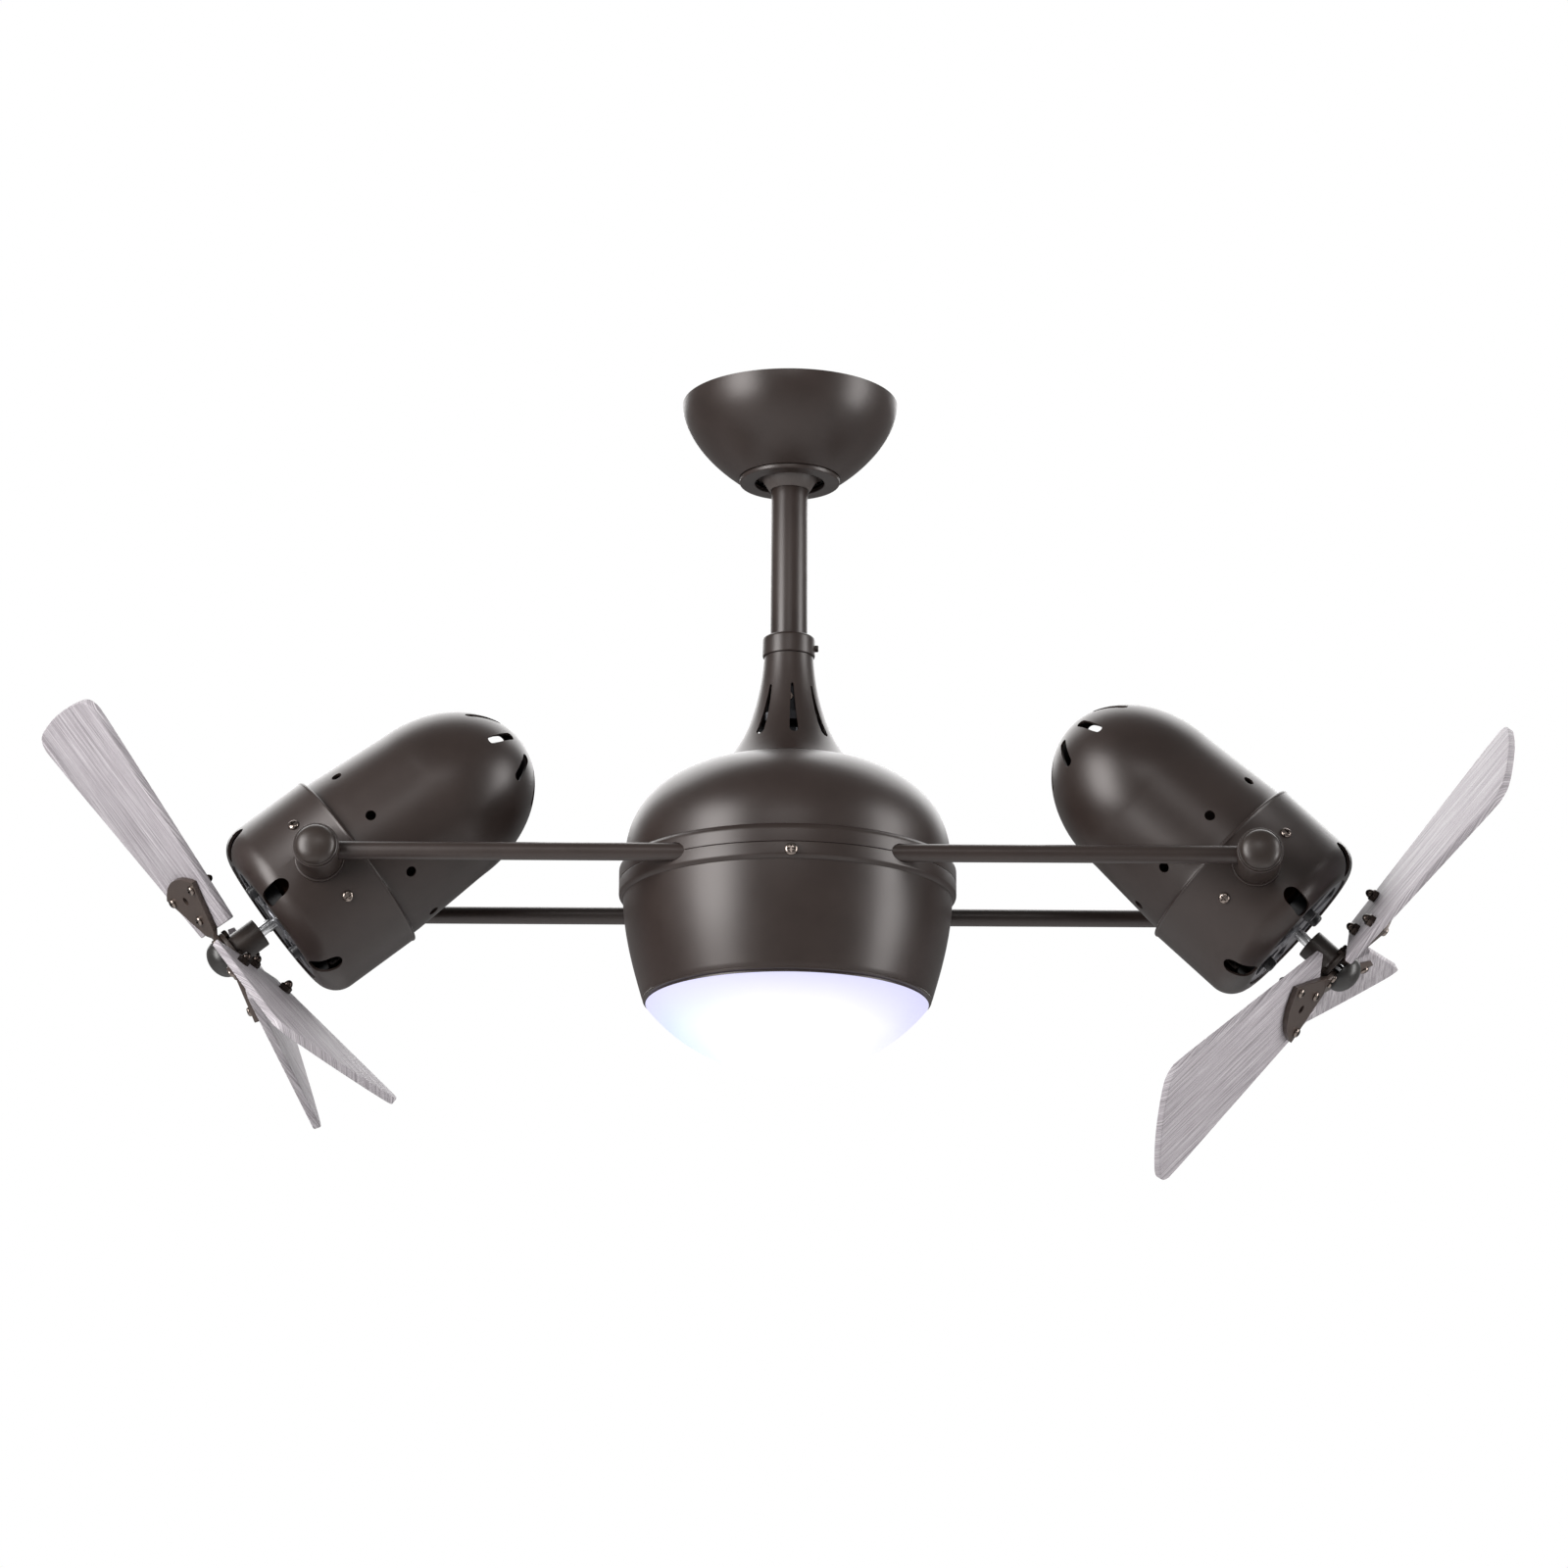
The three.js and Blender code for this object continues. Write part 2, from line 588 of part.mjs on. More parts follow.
function slipRing() {
  const [outer, bore] = [SLIP_RING_DIAMETER / 2, SLIP_RING_CORE / 2 + FIT];
  const pitch = SLIP_RING_LENGTH / SLIP_RING_BANDS;
  const side = [];
  for (let i = 0; i < SLIP_RING_BANDS; i += 1) {
    const top = SLIP_RING_TOP - i * pitch;
    side.push([outer, top], [outer, top - pitch * 0.25], [outer - 1.2, top - pitch * 0.25]);
    side.push([outer - 1.2, top - pitch * 0.75], [outer, top - pitch * 0.75]);
  }
  const outline = [[bore, SLIP_RING_TOP], ...side, [outer, SLIP_RING_BASE], [bore, SLIP_RING_BASE]];
  return revolved(outline, MEDIUM_ROUND);
}

// ---- carrier ----
function bearing(base) {
  const [outer, bore] = [BEARING_DIAMETER / 2, SPINDLE_RADIUS + FIT];
  const shield = 0.8;
  const top = base + BEARING_WIDTH;
  return revolved([
    [bore, base + shield], [outer - 2, base + shield], [outer, base], [outer, top], [outer - 2, top - shield],
    [bore, top - shield],
  ], MEDIUM_ROUND);
}

function carrierHub() {
  const seat = BEARING_DIAMETER / 2 + FIT;
  const bore = SPINDLE_RADIUS + 2;
  const upperFloor = UPPER_BEARING_BASE - FIT;
  const lowerRoof = LOWER_BEARING_BASE + BEARING_WIDTH + FIT;
  const core = revolved([
    [seat, HUB_TOP], [seat, upperFloor], [bore, upperFloor], [bore, lowerRoof], [seat, lowerRoof],
    [seat, HUB_BASE], [HUB_DIAMETER / 2, HUB_BASE], [HUB_DIAMETER / 2, HUB_TOP],
  ], MEDIUM_ROUND);
  const end = ARM_SPREAD + ARM_RADIUS + HUB_BEAM_END;
  const clear = (seat + HUB_DIAMETER / 2) / 2;
  const beams = [-1, 1].map((side) => (
    block(HUB_BEAM_WIDTH, end - clear, HUB_BEAM_HEIGHT, 0, (side * (end + clear)) / 2, 0)
  ));
  const armHoles = armPlaces().map((y) => (
    alongX(tube(ARM_RADIUS + FIT, 0, -HUB_DIAMETER, HUB_DIAMETER, SMALL_ROUND)).translate(0, y, 0)
  ));
  const spindleRoom = tube(bore, 0, HUB_BASE - 1, HUB_TOP + 1, MEDIUM_ROUND);
  const lowerRoom = tube(seat, 0, HUB_BASE - 1, lowerRoof, MEDIUM_ROUND);
  return cut(join(core, ...beams), ...armHoles, spindleRoom, lowerRoom);
}

function armPlaces() {
  return [-ARM_SPREAD, ARM_SPREAD];
}

function armReach() {
  return PIVOT_DISTANCE - PIVOT_BOLT_DIAMETER / 2 - 4;
}

function arm(y) {
  const reach = armReach();
  return alongX(tube(ARM_RADIUS, ARM_RADIUS - ARM_WALL, -reach, reach, SMALL_ROUND)).translate(0, y, 0);
}

function armNotches() {
  return armPlaces().map((y) => (
    alongX(tube(ARM_RADIUS + FIT, 0, -HOUSING_RADIUS * 2, HOUSING_RADIUS * 2, SMALL_ROUND)).translate(0, y, 0)
  ));
}

/** The dome is a squared-off ellipse, (r/R)^n + (z/H)^n = 1: this is its height at a radius. */
function domeHeight(radius) {
  return DOME_BASE + DOME_HEIGHT * (1 - (radius / DOME_RADIUS) ** DOME_SQUARENESS) ** (1 / DOME_SQUARENESS);
}

function upperShell() {
  const power = 2 / DOME_SQUARENESS;
  const endAngle = Math.acos((DOME_OPENING / DOME_RADIUS) ** (1 / power));
  const steps = 5;
  const dome = Array.from({ length: steps + 1 }, (_, i) => {
    const angle = (endAngle * i) / steps;
    return [DOME_RADIUS * Math.cos(angle) ** power, DOME_BASE + DOME_HEIGHT * Math.sin(angle) ** power];
  });
  const seam = FIT / 2;
  const bead = [
    [HOUSING_RADIUS, seam],
    [HOUSING_RADIUS, DOME_BASE - BEAD_ROUND],
    [HOUSING_RADIUS - 1.2, DOME_BASE - 0.8],
  ];
  const inner = walled(dome, HOUSING_WALL).slice(dome.length);
  const outline = [...bead, ...dome, ...inner, [DOME_RADIUS - HOUSING_WALL, seam]];
  return cut(revolved(outline, LARGE_ROUND), ...armNotches());
}

function skirtOutline() {
  const top = GROOVE_HEIGHT - 1.5;
  return curve(
    [SKIRT_TOP_RADIUS, top],
    [SKIRT_TOP_RADIUS - SKIRT_TOP_DRAW, top - SKIRT_TOP_PULL],
    [SKIRT_FOOT_RADIUS + SKIRT_FOOT_DRAW, SKIRT_FOOT + SKIRT_FOOT_PULL],
    [SKIRT_FOOT_RADIUS, SKIRT_FOOT],
    4,
  );
}

function lowerShell() {
  const seam = -FIT / 2;
  const band = [[HOUSING_RADIUS, seam], [HOUSING_RADIUS, GROOVE_HEIGHT + 2.5],
    [GROOVE_RADIUS, GROOVE_HEIGHT + 1], [GROOVE_RADIUS - 1.2, GROOVE_HEIGHT]];
  const skirt = skirtOutline();
  const inner = skirt.map(([r, z]) => [r - HOUSING_WALL, z]).filter(([, z]) => z > SKIRT_LEDGE + 4).reverse();
  const lip = panRadius() + FIT - SKIRT_LIP_WIDTH;
  const outline = [...band, ...skirt, [lip, SKIRT_FOOT], [lip, SKIRT_LEDGE], [panRadius() + FIT, SKIRT_LEDGE],
    ...inner, [SKIRT_TOP_RADIUS - HOUSING_WALL, seam]];
  return cut(revolved(outline, LARGE_ROUND), ...armNotches());
}

function panRadius() {
  return SKIRT_FOOT_RADIUS - HOUSING_WALL - FIT;
}

function dishRadius() {
  return panRadius() - PAN_RIM_WIDTH;
}

function lightPan() {
  const base = SKIRT_LEDGE + FIT;
  const top = base + PAN_SHEET;
  const [rim, dish] = [panRadius(), dishRadius()];
  return revolved([
    [0, top + PAN_DISH_DEPTH], [dish, top + PAN_DISH_DEPTH], [dish + PAN_SLOPE, top], [rim, top], [rim, base],
    [dish + PAN_SLOPE - 1, base], [dish - 1, base + PAN_DISH_DEPTH], [0, base + PAN_DISH_DEPTH],
  ], LARGE_ROUND);
}

function ledBoard() {
  const top = SKIRT_LEDGE + PAN_DISH_DEPTH;
  const base = top - LED_BOARD_SHEET;
  const radius = dishRadius() - LED_BOARD_INSET;
  const chips = ring(LED_COUNT, 0, () => (
    block(LED_SIZE, LED_SIZE, 2, radius - LED_RING_INSET, 0, base - 0.5)
  ));
  return join(tube(radius, 0, base, top, MEDIUM_ROUND), ...chips);
}

function ledDriver() {
  const [side, height, corner] = [DRIVER_WIDTH / 2, DRIVER_HEIGHT, DRIVER_CORNER];
  const base = SKIRT_LEDGE + 2 * FIT + PAN_SHEET + PAN_DISH_DEPTH;
  const shape = new THREE.Shape();
  shape.moveTo(-side, 0).lineTo(side, 0).lineTo(side, height - corner).lineTo(side - corner, height);
  shape.lineTo(corner - side, height).lineTo(-side, height - corner);
  const body = raised(shape, -DRIVER_LENGTH / 2, DRIVER_LENGTH / 2);
  return body.rotateX(Math.PI / 2).rotateZ(Math.PI / 2).translate(0, dishRadius() - DRIVER_INSET, base);
}

/** The bowl's outside is a spherical cap, whose neck stands inside the skirt's lip. */
function glassBowl() {
  const rimHeight = SKIRT_FOOT - FIT;
  const sphere = (GLASS_RIM_RADIUS ** 2 + GLASS_DEPTH ** 2) / (2 * GLASS_DEPTH);
  const centre = rimHeight - GLASS_DEPTH + sphere;
  const rimAngle = -THREE.MathUtils.radToDeg(Math.acos(GLASS_RIM_RADIUS / sphere));
  const neck = panRadius() - SKIRT_LIP_WIDTH;
  const innerSphere = sphere - GLASS_WALL;
  const innerRim = neck - GLASS_WALL;
  const innerAngle = -THREE.MathUtils.radToDeg(Math.acos(innerRim / innerSphere));
  const outside = arc([0, centre], sphere, sphere, -90, rimAngle, 5);
  const inside = arc([0, centre], innerSphere, innerSphere, innerAngle, -90, 4);
  const neckTop = SKIRT_LEDGE - FIT;
  outside[0][0] = 0;
  inside[inside.length - 1][0] = 0;
  const collar = [[neck, rimHeight], [neck, neckTop], [innerRim, neckTop]];
  return revolved([...outside, ...collar, ...inside], LARGE_ROUND);
}

function brushBlock() {
  const inner = SLIP_RING_DIAMETER / 2 + FIT;
  const top = HUB_BASE - FIT;
  const base = SLIP_RING_BASE;
  const middle = (BRUSH_OUTER + inner) / 2;
  const body = block(BRUSH_OUTER - inner, BRUSH_WIDTH, top - base, middle, 0, (top + base) / 2);
  const nutRoom = tube(SPINDLE_NUT_DIAMETER / 2 + 2, 0, SLIP_RING_TOP, LOWER_BEARING_SEAT + 1, MEDIUM_ROUND);
  return cut(body, nutRoom);
}

// ---- tilt joints: built at the left pivot, outwards along +Y, and turned for the others ----
function knuckle() {
  const radius = KNUCKLE_DIAMETER / 2;
  const start = COVER_RADIUS + PAD_HEIGHT + FIT;
  const round = KNUCKLE_ROUND;
  const bore = PIVOT_BOLT_DIAMETER / 2 + FIT;
  const body = alongY(revolved([
    [bore, start], [radius - round, start], [radius, start + round], [radius, KNUCKLE_END - round],
    [radius - round, KNUCKLE_END], [bore, KNUCKLE_END],
  ], MEDIUM_ROUND));
  const depth = PIVOT_DISTANCE - armReach() - FIT;
  return { body, socketFrom: depth, socketTo: radius + 2 };
}

/** A knuckle whose socket faces the housing: side is +1 for an arm at +Y and -1 at -Y. */
function placedKnuckle(side) {
  const { body, socketFrom, socketTo } = knuckle();
  const turned = side > 0 ? body : body.rotateZ(Math.PI);
  const socket = alongX(tube(ARM_RADIUS + FIT, 0, socketFrom, socketTo, SMALL_ROUND));
  return cut(turned, socket.translate(0, side * ARM_SPREAD, 0));
}

function pivotBolt(side) {
  const shank = PIVOT_BOLT_DIAMETER / 2;
  const base = KNUCKLE_END + FIT;
  const lip = base + CAP_LIP;
  const capRadius = CAP_DIAMETER / 2;
  const domeRadius = capRadius - 0.9;
  const dome = arc([0, lip], domeRadius, CAP_HEIGHT - CAP_LIP, 0, 90, 3);
  dome[dome.length - 1][0] = 0;
  const nut = PIVOT_NUT_DIAMETER / 2;
  const bolt = alongY(revolved([
    [0, PIVOT_BOLT_END], [nut, PIVOT_BOLT_END], [nut, PIVOT_BOLT_END + PIVOT_NUT_THICKNESS],
    [shank, PIVOT_BOLT_END + PIVOT_NUT_THICKNESS], [shank, base], [capRadius, base], [capRadius, lip],
    ...dome,
  ], MEDIUM_ROUND));
  return side > 0 ? bolt : bolt.rotateZ(Math.PI);
}

// ---- motor head: built along +Z, its tilt pins along +-Y ----
function frontCover() {
  const corner = COVER_RADIUS - COVER_CORNER;
  const side = [[COVER_RADIUS - 0.8, COVER_REAR], [COVER_RADIUS, COVER_REAR + 1.2],
    ...arc([corner, COVER_FRONT - COVER_CORNER], COVER_CORNER, COVER_CORNER, 0, 90, 4)];
  const inner = walled(side.slice(2), COVER_WALL).slice(side.length - 2);
  const opening = MOTOR_RADIUS;
  const shell = revolved([...side, [opening, COVER_FRONT], [opening, COVER_FRONT - COVER_WALL],
    ...inner, [COVER_RADIUS - COVER_WALL, COVER_REAR]], HEAD_ROUND);
  const padBase = COVER_RADIUS - COVER_WALL / 2;
  const pads = [0, Math.PI].map((turn) => (
    alongY(tube(PAD_DIAMETER / 2, 0, padBase, COVER_RADIUS + PAD_HEIGHT, MEDIUM_ROUND)).rotateZ(turn)
  ));
  const pinHole = alongY(tube(
    PIVOT_BOLT_DIAMETER / 2 + FIT, 0, -COVER_RADIUS * 2, COVER_RADIUS * 2, SMALL_ROUND,
  ));
  return cut(join(shell, ...pads), pinHole, ...cornerSlots());
}

/** Obround openings over the cover's front corner, from its side to its front face. */
function cornerSlots() {
  const rear = [COVER_RADIUS, COVER_SLOT_REACH];
  const front = [COVER_RADIUS - COVER_CORNER * 0.83, COVER_FRONT - 0.5];
  const middle = [(rear[0] + front[0]) / 2, (rear[1] + front[1]) / 2];
  const slope = Math.atan2(front[1] - rear[1], rear[0] - front[0]);
  return ring(COVER_SLOTS, 90, () => (
    raised(obround(COVER_SLOT_LENGTH, COVER_SLOT_WIDTH), -CUTTER_REACH, CUTTER_REACH, 2)
      .rotateY(slope).translate(middle[0], 0, middle[1])
  ));
}

/** The shell's rear end is half an ellipse on a slightly tapered side. */
function rearShell(clocking) {
  const lipRadius = COVER_RADIUS - COVER_WALL - FIT;
  const lipFront = COVER_REAR + SHELL_LIP;
  const dome = arc([0, -SHELL_SHOULDER], SHELL_SHOULDER_RADIUS, SHELL_DOME_LENGTH, 0, -90, 4);
  dome[dome.length - 1][0] = 0;
  const side = [[lipRadius, lipFront], [lipRadius, COVER_REAR + 3], [SHELL_RADIUS, COVER_REAR - 1], ...dome];
  const shell = revolved(walled([...side].reverse(), SHELL_WALL), HEAD_ROUND);
  const rounds = ring(SHELL_VENTS, 90 + clocking, () => (
    alongX(tube(ROUND_VENT_DIAMETER / 2, 0, SHELL_RADIUS - CUTTER_REACH, SHELL_RADIUS + 8, VENT_ROUND))
      .translate(0, 0, -ROUND_VENT_STATION)
  ));
  return cut(shell, ...rounds, ...domeVents(clocking));
}

/** Long openings that run down the dome, square to its surface at their middle. */
function domeVents(clocking) {
  const angle = radians(LONG_VENT_ANGLE);
  const radius = SHELL_SHOULDER_RADIUS * Math.cos(angle);
  const station = -SHELL_SHOULDER - SHELL_DOME_LENGTH * Math.sin(angle);
  const slope = Math.atan2(SHELL_DOME_LENGTH * Math.cos(angle), SHELL_SHOULDER_RADIUS * Math.sin(angle));
  return ring(SHELL_VENTS, 90 + clocking, () => (
    raised(obround(LONG_VENT_LENGTH, LONG_VENT_WIDTH), -CUTTER_REACH, CUTTER_REACH, 2)
      .rotateY(-slope).translate(radius, 0, station)
  ));
}

function motorEndPlate() {
  const front = COVER_FRONT - END_PLATE_RECESS;
  const rear = front - END_PLATE_DEPTH;
  const outer = MOTOR_RADIUS - FIT;
  const bore = SHAFT_RADIUS + FIT;
  const boss = tube(BEARING_BOSS_DIAMETER / 2, 0, rear - 2, front + 1, SMALL_ROUND);
  const rim = tube(outer, outer - END_PLATE_RIM, STATOR_FRONT + FIT, front, HEAD_ROUND);
  const spokes = ring(END_PLATE_SPOKES, 30, () => (
    block(outer - END_PLATE_RIM / 2, SPOKE_WIDTH, END_PLATE_DEPTH - 3, (outer - END_PLATE_RIM / 2) / 2, 0,
      (front + rear) / 2)
  ));
  return cut(join(rim, boss, ...spokes), tube(bore, 0, rear - 20, front + 20, SMALL_ROUND));
}

/** A stack of laminations with slots open to its bore, and a ring of winding at each end. */
function stator() {
  const [outer, bore] = [MOTOR_RADIUS - 2 * FIT, STATOR_BORE / 2];
  const rear = STATOR_FRONT - STATOR_LENGTH;
  const [stackRear, stackFront] = [rear + WINDING_HEIGHT, STATOR_FRONT - WINDING_HEIGHT];
  const [coilInner, coilOuter] = [bore + WINDING_INNER_INSET, outer - WINDING_OUTER_INSET];
  const stack = revolved([
    [bore, stackRear], [coilInner, stackRear], [coilInner, rear], [coilOuter, rear], [outer, stackRear],
    [outer, stackFront], [coilOuter, STATOR_FRONT], [coilInner, STATOR_FRONT], [coilInner, stackFront],
    [bore, stackFront],
  ], HEAD_ROUND);
  const slots = ring(STATOR_SLOTS, 0, () => (
    block(STATOR_SLOT_DEPTH, STATOR_SLOT_WIDTH, STATOR_LENGTH * 2, bore + 2, 0, (stackRear + stackFront) / 2)
  ));
  return cut(stack, ...slots);
}

/** The motor's rear bell, whose four lugs take the screws through the cover's side. */
function motorRearBell() {
  const rimFront = STATOR_FRONT - STATOR_LENGTH - FIT;
  const rear = rimFront - REAR_BELL_DEPTH;
  const outer = MOTOR_RADIUS - FIT;
  const lugReach = (COVER_RADIUS - COVER_WALL) * facetShrink(HEAD_ROUND) - FIT;
  const lugOuter = Math.sqrt(lugReach ** 2 - (MOUNT_LUG_WIDTH / 2) ** 2);
  const cup = revolved([
    [SHAFT_RADIUS + FIT, rear - 3], [BEARING_BOSS_DIAMETER / 2, rear - 3], [BEARING_BOSS_DIAMETER / 2, rear],
    [outer - 4, rear], [outer, rear + 4], [outer, rimFront], [outer - REAR_BELL_SHEET, rimFront],
    [outer - REAR_BELL_SHEET, rear + 6], [outer - REAR_BELL_SHEET - 2, rear + REAR_BELL_SHEET],
    [SHAFT_RADIUS + FIT, rear + REAR_BELL_SHEET],
  ], MEDIUM_ROUND);
  const lugLength = lugOuter - outer + 2;
  const lugs = [-1, 1].flatMap((side) => [-1, 1].map((turn) => (
    block(lugLength, MOUNT_LUG_WIDTH, MOUNT_LUG_DEPTH, lugOuter - lugLength / 2, 0, 0)
      .rotateZ(radians(side * 90 + turn * MOUNT_LUG_ANGLE))
  )));
  return join(cup, ...lugs);
}

// ---- rotor: built along +Z from the head's pivot ----
function motorShaft() {
  const core = STATOR_BORE / 2 - CORE_CLEARANCE;
  const rear = STATOR_FRONT - STATOR_LENGTH + 1;
  const front = STATOR_FRONT - 1;
  return revolved([
    [0, SHAFT_REAR], [SHAFT_RADIUS, SHAFT_REAR], [SHAFT_RADIUS, rear], [core, rear], [core, front],
    [SHAFT_RADIUS, front], [SHAFT_RADIUS, SHAFT_FRONT], [0, SHAFT_FRONT],
  ], SMALL_ROUND);
}

function bladeHub() {
  const [radius, flange] = [BLADE_HUB_DIAMETER / 2, BLADE_HUB_FLANGE_DIAMETER / 2];
  const top = IRON_LEVEL - IRON_THICKNESS / 2 - FIT;
  const base = top - BLADE_HUB_FLANGE_THICKNESS;
  const bore = SHAFT_RADIUS + FIT;
  return revolved([
    [bore, BLADE_HUB_REAR], [radius - 1, BLADE_HUB_REAR], [radius, BLADE_HUB_REAR + 1], [radius, base - 1.5],
    [radius + 1.5, base], [flange, base], [flange, top], [bore, top],
  ], MEDIUM_ROUND);
}

function spinner() {
  const [radius, bore] = [SPINNER_DIAMETER / 2, SHAFT_RADIUS + FIT];
  const base = IRON_LEVEL + IRON_THICKNESS / 2 + FIT;
  const belly = base + 2.5;
  const dome = arc([0, belly], radius, SPINNER_TIP - belly, 0, 90, 4);
  dome[dome.length - 1][0] = 0;
  const roof = SHAFT_FRONT + FIT;
  return revolved([[bore, base], [radius - 1, base], ...dome, [0, roof], [bore, roof]], MEDIUM_ROUND);
}

/** One blade, flat in XY from root to tip along X: a long trapezoid with a bowed tip. */
function blade() {
  const bevel = BLADE_EDGE_ROUND;
  const [root, tip] = [BLADE_ROOT + bevel, BLADE_TIP - bevel];
  const [rootHalf, tipHalf] = [BLADE_ROOT_CHORD / 2 - bevel, BLADE_TIP_CHORD / 2 - bevel];
  const shape = new THREE.Shape();
  const shoulder = tip - BLADE_TIP_BULGE;
  const slope = (tipHalf - rootHalf) / (shoulder - root);
  shape.moveTo(root, -rootHalf);
  shape.lineTo(shoulder - BLADE_CORNER, -tipHalf + slope * BLADE_CORNER);
  const cornerEnd = shoulder + BLADE_TIP_BULGE * 0.3;
  shape.quadraticCurveTo(shoulder, -tipHalf, cornerEnd, -tipHalf + BLADE_CORNER);
  shape.quadraticCurveTo(tip + BLADE_TIP_BULGE * 0.5, 0, cornerEnd, tipHalf - BLADE_CORNER);
  shape.quadraticCurveTo(shoulder, tipHalf, shoulder - BLADE_CORNER, tipHalf - slope * BLADE_CORNER);
  shape.lineTo(root, rootHalf);
  const options = {
    depth: BLADE_THICKNESS - 2 * bevel,
    bevelThickness: bevel,
    bevelSize: bevel,
    bevelSegments: 1,
    curveSegments: 5,
  };
  return new THREE.ExtrudeGeometry(shape, options).translate(0, 0, bevel - BLADE_THICKNESS / 2);
}

/** Joins rectangular sections along X into one bar: each has a place, a width and a twist. */
function twistedBar(sections, thickness) {
  const corners = [[-1, -1], [1, -1], [1, 1], [-1, 1]];
  const positions = sections.flatMap(({ x, width, twist }) => corners.flatMap(([side, face]) => {
    const [y, z] = [(side * width) / 2, (face * thickness) / 2];
    const angle = radians(twist);
    return [x, y * Math.cos(angle) - z * Math.sin(angle), y * Math.sin(angle) + z * Math.cos(angle)];
  }));
  const index = [0, 3, 2, 0, 2, 1];
  for (let i = 0; i < sections.length - 1; i += 1) {
    for (let c = 0; c < 4; c += 1) {
      const [a, b] = [4 * i + c, 4 * i + ((c + 1) % 4)];
      index.push(a, b, b + 4, a, b + 4, a + 4);
    }
  }
  const last = 4 * (sections.length - 1);
  index.push(last, last + 1, last + 2, last, last + 2, last + 3);
  const geometry = new THREE.BufferGeometry();
  geometry.setAttribute('position', new THREE.Float32BufferAttribute(positions, 3));
  geometry.setIndex(index);
  return geometry;
}

/**
 * A blade iron: a flat root on the hub, a twisted neck and a shield plate on the blade's face.
 * The plate's end is bowed: its width falls with the square root of what is left to the end.
 */
function bladeIron() {
  const rootEnd = BLADE_HUB_FLANGE_DIAMETER / 2 + FIT;
  const bowed = [0.3, 0.6, 0.84, 0.98].map((share) => (
    { x: IRON_SHOULDER + share * IRON_BOW, width: IRON_WIDTH * Math.sqrt(1 - share), twist: BLADE_PITCH }
  ));
  const sections = [
    { x: IRON_INNER, width: IRON_NECK_WIDTH * 0.8, twist: 0 },
    { x: rootEnd, width: IRON_NECK_WIDTH, twist: 0 },
    { x: BLADE_ROOT - 0.5, width: IRON_NECK_WIDTH + 2, twist: BLADE_PITCH },
    { x: IRON_SHOULDER, width: IRON_WIDTH, twist: BLADE_PITCH },
    ...bowed,
  ];
  const bar = twistedBar(sections, IRON_THICKNESS);
  const hole = tube(IRON_HOLE_DIAMETER / 2, 0, -3 * IRON_THICKNESS, 3 * IRON_THICKNESS, TINY_ROUND)
    .translate(IRON_HOLE_RADIUS, 0, 0).rotateX(radians(BLADE_PITCH));
  return cut(bar, hole);
}

// ---- assembly ----
function pieceAt(name, geometry, material, x, y, z) {
  const mesh = piece(name, geometry, material);
  mesh.position.set(x, y, z);
  return mesh;
}

function ceilingMount() {
  const group = new THREE.Group();
  group.add(piece('hanger_bracket', hangerBracket(), zinc));
  group.add(piece('canopy', canopy(), bronze));
  group.add(piece('canopy_ring', canopyRing(), bronze));
  group.add(pieceAt('hanger_ball', hangerBall(), darkBronze, 0, 0, -BALL_DROP));
  const pin = crossPin(HANGER_PIN_DIAMETER, HANGER_PIN_LENGTH, hangerPinHeight() - BALL_DROP);
  group.add(piece('hanger_pin', pin, steel));
  return group;
}

function hangingStem() {
  return [
    piece('downrod', downrod(), bronze),
    piece('downrod_collar', downrodCollar(), bronze),
    piece('neck_cover', neckCover(), bronze),
    piece('yoke', yoke(), zinc),
    piece('yoke_pin', yokePin(), steel),
    piece('spindle', spindle(), steel),
    piece('slip_ring', slipRing(), copper),
  ];
}

function carrier() {
  return [
    piece('upper_bearing', bearing(UPPER_BEARING_BASE), steel),
    piece('lower_bearing', bearing(LOWER_BEARING_BASE), steel),
    piece('carrier_hub', carrierHub(), castAluminium),
    piece('front_arm', arm(-ARM_SPREAD), bronze),
    piece('rear_arm', arm(ARM_SPREAD), bronze),
    piece('upper_shell', upperShell(), bronze),
    piece('lower_shell', lowerShell(), bronze),
    piece('light_pan', lightPan(), whitePaint),
    piece('led_board', ledBoard(), whitePaint),
    piece('led_driver', ledDriver(), whitePaint),
    piece('glass_bowl', glassBowl(), opalGlass),
    piece('brush_block', brushBlock(), moulding),
  ];
}

/** A head leans its outward axis below the arms by its tilt: its +Z is then the blades' axis. */
function head(side, tilt, bladePhase, clocking) {
  const group = new THREE.Group();
  group.rotation.y = -radians(90 + tilt);
  group.add(piece(`${side}_front_cover`, frontCover(), bronze));
  group.add(piece(`${side}_rear_shell`, rearShell(clocking), bronze));
  group.add(piece(`${side}_motor_end_plate`, motorEndPlate(), castAluminium));
  group.add(piece(`${side}_motor_rear_bell`, motorRearBell(), castAluminium));
  group.add(piece(`${side}_stator`, stator(), copper));
  group.add(piece(`${side}_motor_shaft`, motorShaft(), steel));
  group.add(piece(`${side}_blade_hub`, bladeHub(), darkBronze));
  group.add(piece(`${side}_spinner`, spinner(), spinnerGrey));
  for (let i = 0; i < BLADES; i += 1) {
    const spoke = new THREE.Group();
    spoke.rotation.z = radians(bladePhase + (360 * i) / BLADES);
    const iron = piece(`${side}_blade_iron_${i + 1}`, bladeIron(), darkBronze);
    iron.position.z = IRON_LEVEL;
    const pitched = piece(`${side}_blade_${i + 1}`, blade(), washedWood);
    pitched.rotation.x = radians(BLADE_PITCH);
    pitched.position.z = BLADE_PLANE;
    spoke.add(iron, pitched);
    group.add(spoke);
  }
  return group;
}

